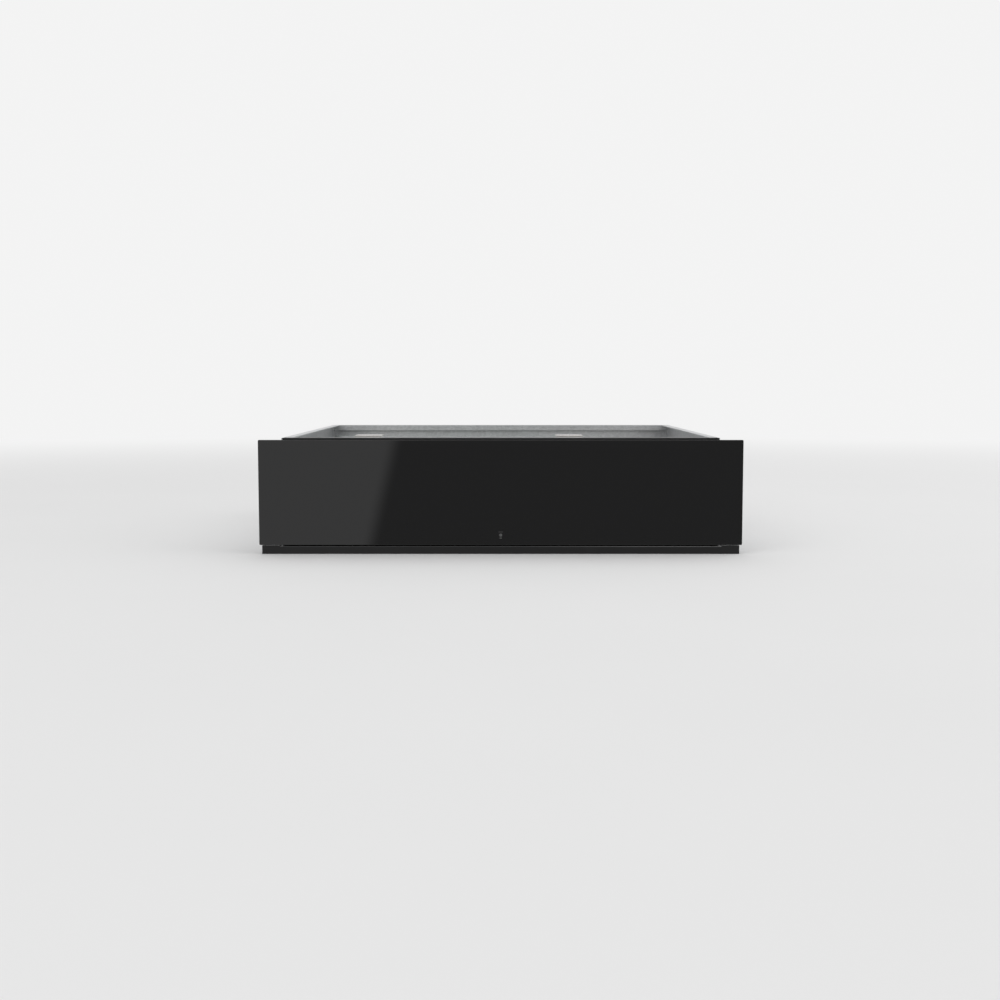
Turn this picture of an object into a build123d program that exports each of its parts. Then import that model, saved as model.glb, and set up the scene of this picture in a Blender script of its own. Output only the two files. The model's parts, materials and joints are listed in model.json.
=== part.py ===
from build123d import *
import math
import os

# Built-in vacuum sealing drawer for a 60 cm cabinet column.
# Millimetres. +X is to the right seen from the front, +Y to the back, +Z up. The origin is in
# the middle of the underside, and the glass front faces -Y.

os.makedirs("parts", exist_ok=True)

# Front and overall sizes
front_width = 597.0
front_height = 130.0
total_depth = 550.0
glass_thick = 5.0
glass_bevel = 0.9
glass_corner = 1.5
front_gap = 1.5
rail_above_front = 1.5
frame_depth = 14.0
frame_margin = 4.5
frame_sheet = 1.2

# Trim strip under the front
trim_height = 9.5
trim_wall = 1.5
trim_edge = 0.6
cap_width = 22.0
cap_step = 0.9
cap_tongue = 12.0

# Housing
housing_width = 546.0
housing_sheet = 1.2
rail_height = 8.0
rail_depth = 18.0
rail_tab = 14.0
base_flange = 9.0
weld_gap = 0.1
bead_pitch = 150.0
bead_side_gap = 51.8
bead_half_width = 5.0
bead_height = 1.5
base_vent_slot = (26, 5)
base_vent_pitch = (36, 22)
base_vent_y = 75
top_return = 10.0
rear_flange = 14.0
rear_flange_z0 = 20.0
wall_vent_slot = (24, 4.5)
wall_vent_pitch = (8, 30)
side_vent_gap = 139.1
cut_out_margin = (2.0, 7.0)
rear_room = 13.0
press_travel = 3.0
press_clear = 0.5
bumper_radius = 8.0
bumper_inset = 4.0
bumper_zs = (30, 100)
bumper_clear = 0.8
cabinet_hole_radius = 2.25
cabinet_hole_low = 36.0
cabinet_hole_high = 110.0
cabinet_hole_inset = 8.0
base_screw_inset = 40.0
rear_screw_zs = (30, 100)

# Telescopic runners
runner_thick = 12.7
runner_height = 45.0
runner_sheet = 1.2
runner_z = 70.5
runner_inset = 12.5
runner_back_gap = 52.0
runner_screw_inset = 30.0
runner_lip_clear = 1.5
ball_radius = 2.25
ball_clear = 0.3
ball_count = 5
cage_sheet = 0.8
cage_clear = 0.5
cage_length = 200.0

# Push latch
latch_width = 10.5
latch_height = 14.0
latch_length = 60.0
latch_z = 20.5
latch_set_back = 6.5
plunger_radius = 3.3
plunger_length = 28.0
plunger_tip_radius = 4.6
plunger_tip = 1.6
plunger_gap = 3.3
latch_bore_clear = 0.3
latch_end_wall = 4.0
spring_radius = 2.4
spring_wire = 0.35
spring_pitch = 2.6

# Drawer tray and deck
tray_clear = 1.5
tray_sheet = 1.2
tray_return = 12.0
tray_front_room = 6.0
deck_sheet = 1.5
deck_inset = 1.0
bracket_width = 60.0
bracket_sheet = 2.0
bracket_inset = 22.0
bracket_rise = 9.0
bracket_drop = 4.0
frame_screw_inset = 10.0
tray_screw_inset = 22.0
tray_screw_half = 18.0
tray_screw_bite = 1.0
deck_screw_inset = 25.0
deck_screw_rear = 70.0
deck_screw_side_gap = 109.1
tray_vent_slot = (24, 5)
tray_back_vent_pitch = (10, 30)
tray_floor_vent_pitch = (36, 90)
tray_floor_vent_gap = 112.0

# Vacuum chamber, gasket and lid
pump_bay = 179.5
floor_room = 15.8
chamber_wall = 2.0
chamber_corner = 25.0
chamber_floor_fillet = 9.0
rim_lip = 3.0
groove_width = 8.0
rim_depth = 7.0
groove_depth = 5.0
flange_width = 6.0
flange_sheet = 1.5
soft_clear = 0.3
gasket_lip = 4.0
lid_stand = 1.5
lid_thick = 10.0
lid_bevel = 1.2
lid_corner = 8.0
lid_overhang = 3.5
lid_margin = 13.0
lid_clear = 1.5
lid_rail_gap = 8.5

# Lid hinges
hinge_back = 10.0
hinge_rise = 4.0
hinge_inset = 25.0
hinge_pin_radius = 3.0
hinge_barrel_radius = 5.0
hinge_barrel_width = 27.0
hinge_ear = 4.0
hinge_side_clear = 0.5
hinge_fit = 0.05
hinge_plate = 1.5
clamp_sheet = 1.5
clamp_under = 1.2
clamp_reach = 26.0
hinge_foot = 18.0
hinge_foot_front = 3.0
hinge_screw_inset = 6.0
hinge_screw_half = 10.0
ear_proud = 0.5
clamp_half_width = 20.0

# Seal bar and counter bar
seal_bar_end_gap = 15.0
seal_bar_width = 15.0
seal_bar_height = 22.0
seal_bar_gap = 4.5
seal_lift = 6.0
seal_lift_clear = 0.3
band_width = 5.0
band_thick = 0.8
tape_thick = 0.3
counter_height = 8.0
counter_sheet = 1.5
silicone_height = 5.0
silicone_proud = 1.0
rod_radius = 4.0
rod_fit = 0.05
rod_inset = 65.0
bush_radius = 9.0
bush_height = 6.0
lift_radius = 20.0
lift_wall = 3.4
lift_end = 1.5
piston_height = 3.0
lift_block = 14.0
lift_block_reach = 4.0

# Control panel
control_glass_thick = 3.0
control_gap = 10.0
control_width = 85.2
control_corner = 6.0
window_width = 54.0
window_length = 190.0
board_sheet = 1.6
board_drop = 4.4
stud_radius = 2.5
stud_screw_depth = 3.0
board_margin = (9.0, 6.0)
board_screw_inset = (4.0, 12.0)
touch_count = 4
touch_radius = 7.0
touch_half_spacing = 13.0
display_size = (46.0, 46.0)
connector_size = (32.0, 8.0, 5.0)

# Pump, motor and what stands beside them
pump_top_gap = 8.8
motor_wall = 2.5
motor_side_gap = 185.1
motor_core_gap = 21.5
motor_back_gap = 11.8
motor_end = 4.0
fin_count = 24
fin_height = 2.0
fin_width = 1.6
foot_half = 26.0
foot_length = 30.0
foot_height = 12.0
terminal_length = 30.0
terminal_rise = (16.0, 38.0)
mount_height = 8.0
mount_radius = 9.0
pump_length = 80.0
pump_bore = 29.0
pump_offset = 2.5
pump_groove_count = 5
pump_groove_depth = 7.0
pump_groove_width = 4.0
pump_groove_inset = 12.0
suction_rise = 6.0
port_reach = 10.0
cover_bolt_count = 6
cover_bolt_inset = 7.0
cover_bolt_radius = 4.0
cover_bolt_height = 3.0
rotor_radius = 26.0
vane_slot = 2.6
vane_depth = 14.0
vane_clear = 0.15
cover_thick = 8.0
shaft_radius = 6.0
shaft_fit = 0.05
stator_ring = 10.0
stator_slots = 12
stator_slot_size = (8, 2.4)
stator_inset = 20.0
winding_reach = 8.0
winding_step = (1.5, 2.0)
air_gap = 0.6
stator_end_room = 24.0
filter_radius = 24.0
filter_height = 84.0
filter_gap = 20.0
filter_dome = 8.0
filter_rib_count = 4
filter_rib_step = 3.0
filter_rib_height = 1.5
filter_rib_proud = 0.8
filter_rib_rise = 12.0
filter_stub_radius = 5.0
filter_stub_rise = 10.0
valve_count = 3
valve_pitch = 30.0
valve_tube_radius = 5.0
valve_tube_height = 40.0
valve_coil_half = (12.0, 11.0)
valve_coil_z = (4.0, 34.0)
valve_nut = (8.0, 3.0)
manifold_gap = 30.0
manifold_width = 24.0
manifold_height = 26.0
manifold_port_rise = 15.0
lift_port_rise = 7.0
lift_stub = 8.0
hose_radius = 4.5
hose_bore = 2.8
tube_radius = 2.5
cable_radius = 2.6

# Electrical parts
power_half = (48, 90)
power_screw_inset = 5.0
power_stud = 6.0
power_stud_radius = 3.0
power_screw_short = 1.5
capacitor_size = (12.5, 34.0)
capacitor_places = ((24, 28), (54, 28))
sink_x = (8, 12, 30)
sink_y = (52, 118)
sink_height = 40.0
sink_fins = 7
sink_fin_pitch = 10.5
sink_fin_width = 3.0
relay_x = (60, 76)
relay_count = 3
relay_pitch = 26.0
relay_size = (20.0, 16.0)
choke_place = (45, 85)
choke_size = (10.0, 5.0, 12.0)
block_x = (14, 84)
block_inset = 12.0
block_size = (10.0, 14.0)
block_hole_count = 6
block_hole_pitch = 11.6
block_hole_radius = 3.0
block_hole_floor = 6.0
core_leg = 11.5
core_stack = 28.0
core_side_gap = 163.1
core_back_gap = 97.0
coil_proud = 12.0
coil_clear = 0.3
fan_size = 60.0
fan_thick = 15.0
fan_bore = 28.0
fan_hub = 12.0
fan_clear = 1.0
fan_blades = 7
fan_side_gap = 54.1
fan_z = 66.0
fan_screw_inset = 5.0
fan_hub_thick = 3.0
fan_struts = 3
fan_strut_width = 4.0
fan_pin_radius = 2.0
fan_blade_sheet = 1.2
fan_blade_tilt = 40
inlet_side_gap = 149.1
inlet_z = 40.0
inlet_width = 27.0
inlet_height = 20.0
inlet_depth = 17.0
inlet_wall = 1.8
inlet_flange = 2.0
inlet_ears = 12.0
inlet_clear = 0.3
inlet_floor_sheet = 3.0
inlet_flange_margin = 3.0
blade_places = ((-7, 0), (0, 3.5), (7, 0))
blade_half = (1.0, 2.0)

# Screws
screw_radius = 1.7
screw_head = 3.2
screw_head_height = 1.6
screw_clear = 0.1

# Places worked out from the sizes above
front_y = -total_depth / 2
back_y = total_depth / 2
glass_z0 = trim_height + front_gap
glass_z1 = glass_z0 + front_height
total_height = glass_z1 + rail_above_front
side_x = housing_width / 2
inner_x = side_x - housing_sheet
frame_back = front_y + glass_thick + frame_depth
housing_front = frame_back + press_travel + press_clear
back_inner = back_y - housing_sheet
rail_z0 = total_height - rail_height

tray_x = inner_x - runner_thick
tray_front = frame_back + tray_front_room
tray_back = back_y - rear_room
tray_z0 = trim_height + tray_clear
tray_floor = tray_z0 + tray_sheet

lid_z1 = rail_z0 - lid_clear - clamp_sheet
lid_z0 = lid_z1 - lid_thick
flange_top = lid_z0 - lid_stand
deck_top = flange_top - flange_sheet
deck_z0 = deck_top - deck_sheet
chamber_under = tray_floor + floor_room
chamber_z0 = chamber_under + chamber_wall
chamber_depth = flange_top - chamber_z0
rim_width = 2 * rim_lip + groove_width
lid_reach = rim_width + flange_width + lid_overhang
lid_x0 = -tray_x + lid_margin
lid_x1 = tray_x - lid_margin - control_width - control_gap
lid_width = lid_x1 - lid_x0
lid_y0 = housing_front + rail_depth + lid_rail_gap
lid_y1 = tray_back - pump_bay + lid_reach
lid_length = lid_y1 - lid_y0
chamber_width = lid_width - 2 * lid_reach
chamber_length = lid_length - 2 * lid_reach
chamber_x = (lid_x0 + lid_x1) / 2
chamber_y = (lid_y0 + lid_y1) / 2
chamber_front = chamber_y - chamber_length / 2
chamber_rear = chamber_y + chamber_length / 2
hinge_y = lid_y1 + hinge_back
hinge_z = lid_z0 + hinge_rise
hinge_spacing = chamber_width - 2 * hinge_inset
hinge_xs = (chamber_x - hinge_spacing / 2, chamber_x + hinge_spacing / 2)

runner_y0 = housing_front + runner_inset
runner_y1 = tray_back - runner_back_gap
motor_radius = (deck_z0 - pump_top_gap - mount_height - tray_floor) / 2
pump_y = tray_back - tray_sheet - motor_radius - motor_back_gap
pump_z = tray_floor + mount_height + motor_radius
core_x = tray_x - core_side_gap
core_front = tray_back - core_back_gap
motor_left = -tray_x + motor_side_gap
motor_right = core_x - 3 * core_leg - motor_core_gap
motor_length = motor_right - motor_left
pump_right = motor_left - cover_thick
pump_left = pump_right - pump_length
fan_x = tray_x - fan_side_gap
inlet_x = tray_x - inlet_side_gap
side_vent_x = -tray_x + side_vent_gap


def slab(x, y, z, mode=Mode.ADD):
    """Box between two x, two y and two z values, each pair in any order."""
    x, y, z = sorted(x), sorted(y), sorted(z)
    with Locations(((x[0] + x[1]) / 2, (y[0] + y[1]) / 2, (z[0] + z[1]) / 2)):
        Box(x[1] - x[0], y[1] - y[0], z[1] - z[0], mode=mode)


def rod(start, end, radius, mode=Mode.ADD):
    """Round bar from one point to another."""
    along = Vector(*end) - Vector(*start)
    with Locations(Plane(origin=start, z_dir=along.normalized())):
        Cylinder(radius, along.length, align=(Align.CENTER, Align.CENTER, Align.MIN), mode=mode)


def screw(under_head, into, length):
    """Pan head screw, whose shank runs from the point under its head along a direction."""
    seat = Vector(*under_head)
    along = Vector(*into)
    rod(seat - along * screw_head_height, seat, screw_head)
    rod(seat, seat + along * length, screw_radius)


def screw_hole(under_head, into, depth):
    """Clearance hole for such a screw, a little past both faces."""
    seat = Vector(*under_head)
    along = Vector(*into)
    rod(seat - along, seat + along * (depth + 1), screw_radius + screw_clear, Mode.SUBTRACT)


def chamber_outline(past, mode=Mode.ADD):
    """Rounded rectangle in the open sketch, this far past the chamber's inner walls."""
    wide = chamber_width + 2 * past
    long = chamber_length + 2 * past
    RectangleRounded(wide, long, chamber_corner + past, mode=mode)


def rounded_ring(outer, inner, z0, z1):
    """Rounded rectangular ring about the chamber, from its widenings past the chamber's walls."""
    with BuildSketch(Plane.XY.offset(z0)) as ring:
        with Locations((chamber_x, chamber_y)):
            chamber_outline(outer)
            chamber_outline(inner, Mode.SUBTRACT)
    extrude(ring.sketch, amount=z1 - z0)


def save(piece, label):
    """Label one sub-part and write its file."""
    piece.part.label = label
    export_step(piece.part, "parts/" + label + ".step")


# Where the housing's screws go through the side walls, as y and z
runner_mid = (runner_y0 + runner_y1) / 2
runner_screw_ys = (runner_y0 + runner_screw_inset, runner_mid, runner_y1 - runner_screw_inset)
runner_screws = [(y, runner_z) for y in runner_screw_ys]
front_rail_screws = [(housing_front + rail_depth / 2, rail_z0 - rail_tab / 2)]
rear_rail_screws = [(back_inner - rail_depth / 2, rail_z0 - rail_tab / 2)]
base_screw_z = housing_sheet + base_flange / 2
base_screw_ys = (housing_front + base_screw_inset, 0, back_inner - base_screw_inset)
base_screws = [(y, base_screw_z) for y in base_screw_ys]
rear_screws = [(back_inner - rear_flange / 2, z) for z in rear_screw_zs]
housing_screw_places = runner_screws + front_rail_screws + rear_rail_screws + base_screws + rear_screws


def side_holes(side, places):
    """Clearance holes through a side wall and what lies against its inner face."""
    for y, z in places:
        screw_hole((side * side_x, y, z), (-side, 0, 0), housing_sheet + runner_sheet)


# Base pan: floor sheet with beads and vent slots, and strips spot welded along its sides and its
# front, which carries the trim
with BuildPart() as base_pan:
    slab((-inner_x, inner_x), (housing_front, back_inner), (0, housing_sheet))
    strip_z0 = housing_sheet + weld_gap
    strip_y = (housing_front + housing_sheet + weld_gap, back_inner)
    for side in (-1, 1):
        web = (side * (inner_x - housing_sheet), side * inner_x)
        slab(web, strip_y, (strip_z0, housing_sheet + base_flange))
    trim_seat = trim_height - trim_wall
    slab((-inner_x, inner_x), (housing_front, housing_front + housing_sheet), (strip_z0, trim_seat))
    for y in (-bead_pitch, 0, bead_pitch):
        bead_y = (y - bead_half_width, y + bead_half_width)
        bead_reach = inner_x - bead_side_gap
        slab((-bead_reach, bead_reach), bead_y, (housing_sheet, housing_sheet + bead_height))
    with BuildSketch() as base_vents:
        with Locations((0, base_vent_y), (0, -base_vent_y)):
            with GridLocations(*base_vent_pitch, 8, 3):
                SlotOverall(*base_vent_slot)
    extrude(amount=housing_sheet, mode=Mode.SUBTRACT)
    for side in (-1, 1):
        side_holes(side, base_screws)
save(base_pan, "base_pan")


def make_side_wall(side):
    """Side wall with a return along its top, screw holes and the holes for fixing to the cabinet."""
    with BuildPart() as wall:
        slab((side * inner_x, side * side_x), (housing_front, back_y), (0, total_height))
        top_x = (side * (inner_x - top_return), side * inner_x)
        top_y = (housing_front + rail_depth, back_inner - rail_depth)
        slab(top_x, top_y, (total_height - housing_sheet, total_height))
        side_holes(side, housing_screw_places)
        for z in (cabinet_hole_low, cabinet_hole_high):
            start = (side * (side_x + 1), housing_front + cabinet_hole_inset, z)
            end = (side * (inner_x - 1), housing_front + cabinet_hole_inset, z)
            rod(start, end, cabinet_hole_radius, Mode.SUBTRACT)
    return wall


save(make_side_wall(-1), "side_wall_left")
save(make_side_wall(1), "side_wall_right")

# Rear wall: welded strips to the side walls, a cut-out at the power inlet, and vents at the fan
with BuildPart() as rear_wall:
    slab((-inner_x, inner_x), (back_inner, back_y), (0, total_height))
    for side in (-1, 1):
        web = (side * (inner_x - housing_sheet), side * inner_x)
        strip_y = (back_inner - rear_flange, back_inner - weld_gap)
        slab(web, strip_y, (rear_flange_z0, rail_z0 - rail_tab - 2))
        side_holes(side, rear_screws)
    with BuildSketch(Plane.XZ.offset(-back_y)) as rear_cuts:
        with Locations((inlet_x, inlet_z)):
            cut_width = inlet_width + 2 * inlet_ears + 2 * cut_out_margin[0]
            RectangleRounded(cut_width, inlet_height + 2 * cut_out_margin[1], 4)
        for vent_x, columns in ((fan_x, 7), (side_vent_x, 20)):
            with Locations((vent_x, fan_z)):
                with GridLocations(*wall_vent_pitch, columns, 2):
                    SlotOverall(*wall_vent_slot, rotation=90)
    extrude(amount=housing_sheet + 1, both=True, mode=Mode.SUBTRACT)
save(rear_wall, "rear_wall")


def make_rail(front_edge, screws):
    """Cross rail of inverted U section, with a tab down each side wall."""
    with BuildPart() as rail:
        with BuildSketch(Plane.YZ.offset(-inner_x)) as section:
            with Locations((front_edge + rail_depth / 2, rail_z0 + rail_height / 2)):
                Rectangle(rail_depth, rail_height)
            inner_height = rail_height - housing_sheet
            with Locations((front_edge + rail_depth / 2, rail_z0 + inner_height / 2)):
                Rectangle(rail_depth - 2 * housing_sheet, inner_height, mode=Mode.SUBTRACT)
        extrude(amount=2 * inner_x)
        for side in (-1, 1):
            web = (side * (inner_x - housing_sheet), side * inner_x)
            slab(web, (front_edge, front_edge + rail_depth), (rail_z0 - rail_tab, rail_z0 + rail_height))
            side_holes(side, screws)
    return rail


save(make_rail(housing_front, front_rail_screws), "top_front_rail")
save(make_rail(back_inner - rail_depth, rear_rail_screws), "top_rear_rail")

# Lower trim: C section open downwards, whose rounded top edge catches the light
with BuildPart() as lower_trim:
    with BuildSketch(Plane.YZ.offset(-side_x)) as trim_section:
        with BuildLine():
            Polyline(
                (front_y, 0),
                (front_y, trim_height),
                (housing_front, trim_height),
                (housing_front, 0),
                (housing_front - trim_wall, 0),
                (housing_front - trim_wall, trim_height - trim_wall),
                (front_y + trim_wall, trim_height - trim_wall),
                (front_y + trim_wall, 0),
                close=True,
            )
        make_face()
    extrude(amount=housing_width)
    fillet(lower_trim.edges().filter_by(Axis.X).group_by(Axis.Z)[-1].sort_by(Axis.Y)[0], trim_edge)
save(lower_trim, "lower_trim")

# Trim end caps: a block a little taller than the strip, with a tongue inside the strip's section
with BuildPart() as trim_end_caps:
    cap_z = trim_height + cap_step
    for side in (-1, 1):
        slab((side * side_x, side * (side_x + cap_width)), (front_y, housing_front), (0, cap_z))
        tongue_y = (front_y + trim_wall + soft_clear, housing_front - trim_wall - soft_clear)
        tongue_z = (1, trim_height - trim_wall - soft_clear)
        slab((side * side_x, side * (side_x - cap_tongue)), tongue_y, tongue_z)
    fillet(trim_end_caps.edges().filter_by(Axis.X).group_by(Axis.Z)[-1].group_by(Axis.Y)[0], trim_edge)
save(trim_end_caps, "trim_end_caps")

# Telescopic runner sections. Offsets are measured from the housing wall towards the drawer.
ball_race = 2 * (ball_radius + ball_clear)
lip_end = runner_thick - runner_lip_clear
outer_half = runner_height / 2
middle_half = outer_half - runner_sheet - ball_race
inner_half = middle_half - runner_sheet - ball_race
outer_web = (0, runner_sheet)
outer_cage_web = (outer_web[1] + cage_clear, outer_web[1] + cage_clear + cage_sheet)
middle_web = (outer_cage_web[1] + cage_clear, outer_cage_web[1] + cage_clear + runner_sheet)
inner_cage_web = (middle_web[1] + cage_clear, middle_web[1] + cage_clear + cage_sheet)
inner_web = (runner_thick, runner_thick - runner_sheet)
inner_lip_end = inner_cage_web[1] + cage_clear


def make_runner_member(side, web, tip, half):
    """Runner member of C section: a web and two lips that reach from it to the tip offset."""
    with BuildPart() as member:
        web_x = (side * (inner_x - web[0]), side * (inner_x - web[1]))
        slab(web_x, (runner_y0, runner_y1), (runner_z - half, runner_z + half))
        lip_x = (side * (inner_x - web[0]), side * (inner_x - tip))
        for up in (-1, 1):
            lip_z = (runner_z + up * half, runner_z + up * (half - runner_sheet))
            slab(lip_x, (runner_y0, runner_y1), lip_z)
    return member


def make_ball_cage(side, web, ball_offset, level):
    """Ball cage: a bent strip with two rows of holes, and a ball in each hole."""
    hole = ball_radius + ball_clear / 2
    tip = ball_offset + hole + cage_sheet
    step = cage_length / ball_count
    with BuildPart() as cage:
        span = (runner_mid - cage_length / 2, runner_mid + cage_length / 2)
        top = level + cage_sheet / 2
        web_x = (side * (inner_x - web[0]), side * (inner_x - web[1]))
        slab(web_x, span, (runner_z - top, runner_z + top))
        flange_x = (side * (inner_x - web[0]), side * (inner_x - tip))
        for up in (-1, 1):
            slab(flange_x, span, (runner_z + up * top, runner_z + up * (top - cage_sheet)))
        for up in (-1, 1):
            for number in range(ball_count):
                ball_x = side * (inner_x - ball_offset)
                ball_y = span[0] + (number + 0.5) * step
                ball_z = runner_z + up * level
                below = (ball_x, ball_y, ball_z - cage_sheet)
                above = (ball_x, ball_y, ball_z + cage_sheet)
                rod(below, above, hole, Mode.SUBTRACT)
                with Locations((ball_x, ball_y, ball_z)):
                    Sphere(ball_radius)
    return cage


outer_level = outer_half - runner_sheet - ball_race / 2
inner_level = middle_half - runner_sheet - ball_race / 2
outer_ball_offset = outer_cage_web[1] + cage_sheet + ball_radius + ball_clear
inner_ball_offset = (inner_lip_end + lip_end) / 2
tray_inner_x = tray_x - tray_sheet
for side, side_name in ((-1, "left"), (1, "right")):
    outer_member = make_runner_member(side, outer_web, lip_end, outer_half)
    with outer_member:
        side_holes(side, runner_screws)
    save(outer_member, "runner_outer_" + side_name)
    save(make_runner_member(side, middle_web, lip_end, middle_half), "runner_middle_" + side_name)
    inner_member = make_runner_member(side, inner_web, inner_lip_end, inner_half)
    with inner_member:
        for y in runner_screw_ys:
            screw_hole((side * tray_inner_x, y, runner_z), (side, 0, 0), tray_sheet + runner_sheet)
    save(inner_member, "runner_inner_" + side_name)
    outer_cage = make_ball_cage(side, outer_cage_web, outer_ball_offset, outer_level)
    save(outer_cage, "ball_cage_outer_" + side_name)
    inner_cage = make_ball_cage(side, inner_cage_web, inner_ball_offset, inner_level)
    save(inner_cage, "ball_cage_inner_" + side_name)

# Rubber stops on the rear wall, which end the drawer's push
with BuildPart() as rear_bumpers:
    bumper_length = back_inner - tray_back - press_travel - bumper_clear
    for side in (-1, 1):
        for z in bumper_zs:
            x = side * (tray_inner_x - bumper_radius - bumper_inset)
            rod((x, back_inner, z), (x, back_inner - bumper_length, z), bumper_radius)
    fillet(rear_bumpers.edges().group_by(Axis.Y)[0], 1.5)
save(rear_bumpers, "rear_bumpers")

# Push latches: a slim case on each side wall, under the runner, with a sprung plunger
latch_x = inner_x - latch_width / 2
latch_front = housing_front + latch_set_back
latch_bore_end = latch_front + latch_length - latch_end_wall
plunger_front = frame_back + plunger_gap
plunger_end = plunger_front + plunger_length
with BuildPart() as latch_cases:
    for side in (-1, 1):
        case_x = (side * inner_x, side * (inner_x - latch_width))
        case_z = (latch_z - latch_height / 2, latch_z + latch_height / 2)
        slab(case_x, (latch_front, latch_front + latch_length), case_z)
    chamfer(latch_cases.edges().filter_by(Axis.Y), 1)
    for side in (-1, 1):
        mouth = (side * latch_x, latch_front - 1, latch_z)
        end = (side * latch_x, latch_bore_end, latch_z)
        rod(mouth, end, plunger_radius + latch_bore_clear, Mode.SUBTRACT)
save(latch_cases, "latch_cases")

with BuildPart() as latch_plungers:
    for side in (-1, 1):
        front = (side * latch_x, plunger_front, latch_z)
        neck = (side * latch_x, plunger_front + plunger_tip, latch_z)
        rod(front, neck, plunger_tip_radius)
        rod(neck, (side * latch_x, plunger_end, latch_z), plunger_radius)
    fillet(latch_plungers.edges().group_by(Axis.Y)[0], 0.5)
save(latch_plungers, "latch_plungers")


def coil_path(radius, length, pitch):
    """Helix about the Z axis in quarter turns, each made of two tangent arcs, and its points."""
    turns = math.floor(length / pitch)
    rise = length / turns
    points = []

    def at(quarter):
        angle = quarter * math.pi / 2
        across = Vector(radius * math.cos(angle), radius * math.sin(angle), rise * quarter / 4)
        heading = Vector(-radius * math.sin(angle), radius * math.cos(angle), rise / (2 * math.pi))
        return across, heading.normalized()

    with BuildLine() as path:
        for quarter in range(4 * turns):
            (start, leaving), (end, arriving) = at(quarter), at(quarter + 1)
            chord = end - start
            both = leaving + arriving
            curve = 2 * (1 - leaving.dot(arriving))
            along = chord.dot(both)
            reach = (math.sqrt(along**2 + curve * chord.dot(chord)) - along) / curve
            first = start + leaving * reach
            second = end - arriving * reach
            join = (first + second) * 0.5
            TangentArc(start, join, tangent=leaving)
            TangentArc(join, end, tangent=(second - first).normalized())
            points.append(start)
    return path, points


# Latch springs, each between its plunger and the end of its bore
spring_room = latch_bore_end - plunger_end
spring_end_room = spring_wire + ball_clear
coil, coil_points = coil_path(spring_radius, spring_room - 2 * spring_end_room, spring_pitch)
with BuildPart() as latch_spring:
    with BuildSketch(coil.line ^ 0):
        Circle(spring_wire)
    sweep(path=coil.line)
turn_steps = [(low - high).length for low, high in zip(coil_points, coil_points[4:])]
print("least gap between the latch spring's turns:", round(min(turn_steps) - 2 * spring_wire, 2), "mm")
with BuildPart() as latch_springs:
    for side in (-1, 1):
        spring_start = (side * latch_x, plunger_end + spring_end_room, latch_z)
        with Locations(Plane(origin=spring_start, z_dir=(0, 1, 0))):
            add(latch_spring.part)
save(latch_springs, "latch_springs")

# Housing screws, heads outside the side walls
with BuildPart() as housing_screws:
    for side in (-1, 1):
        for y, z in housing_screw_places:
            screw((side * side_x, y, z), (-side, 0, 0), housing_sheet + runner_sheet)
save(housing_screws, "housing_screws")

# Glass front, with a polished bevel round its face
glass_back = front_y + glass_thick
front_mid_z = (glass_z0 + glass_z1) / 2
with BuildPart() as front_glass:
    with BuildSketch(Plane.XZ.offset(-front_y)) as glass_outline:
        with Locations((0, front_mid_z)):
            RectangleRounded(front_width, front_height, glass_corner)
    extrude(amount=-glass_thick)
    chamfer(front_glass.faces().sort_by(Axis.Y)[0].edges(), glass_bevel)
save(front_glass, "front_glass")

# Places of the screws that hold the brackets to the front's carrier and to the tray
bracket_x = tray_x - bracket_inset - bracket_width / 2
bracket_z0 = glass_z0 + bracket_rise
bracket_z1 = deck_z0 - bracket_drop
frame_screw_zs = (bracket_z0 + frame_screw_inset, bracket_z1 - frame_screw_inset)
frame_screws = [(side * bracket_x, z) for side in (-1, 1) for z in frame_screw_zs]
tray_screws = [
    (side * bracket_x + shift, z)
    for side in (-1, 1)
    for shift in (-tray_screw_half, tray_screw_half)
    for z in (bracket_z0 + tray_screw_inset, bracket_z1 - tray_screw_inset)
]
frame_screw_seat = frame_back + bracket_sheet
tray_screw_seat = tray_front + tray_sheet
tray_screw_length = tray_sheet + bracket_sheet - tray_screw_bite

# Sheet metal carrier glued to the back of the glass
with BuildPart() as front_frame:
    with BuildSketch(Plane.XZ.offset(-glass_back)) as frame_outline:
        with Locations((0, front_mid_z)):
            RectangleRounded(front_width - 2 * frame_margin, front_height - 2 * frame_margin, 4)
    extrude(amount=-frame_depth)
    with BuildSketch(Plane.XZ.offset(-glass_back)) as frame_hollow:
        with Locations((0, front_mid_z)):
            inset = frame_margin + frame_sheet
            RectangleRounded(front_width - 2 * inset, front_height - 2 * inset, 4 - frame_sheet)
    extrude(amount=frame_sheet - frame_depth, mode=Mode.SUBTRACT)
    for x, z in frame_screws:
        screw_hole((x, frame_screw_seat, z), (0, -1, 0), bracket_sheet + frame_sheet)
save(front_frame, "front_frame")

# Brackets between the carrier and the tray: channels open to the middle
with BuildPart() as front_brackets:
    for side in (-1, 1):
        edge_x = side * (bracket_x + bracket_width / 2)
        span_x = (edge_x, edge_x - side * bracket_width)
        span_z = (bracket_z0, bracket_z1)
        slab(span_x, (frame_back, frame_screw_seat), span_z)
        slab(span_x, (tray_front - bracket_sheet, tray_front), span_z)
        slab((edge_x, edge_x - side * bracket_sheet), (frame_back, tray_front), span_z)
    for x, z in frame_screws:
        screw_hole((x, frame_screw_seat, z), (0, -1, 0), bracket_sheet + frame_sheet)
    for x, z in tray_screws:
        screw_hole((x, tray_screw_seat, z), (0, -1, 0), tray_screw_length)
save(front_brackets, "front_brackets")

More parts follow.
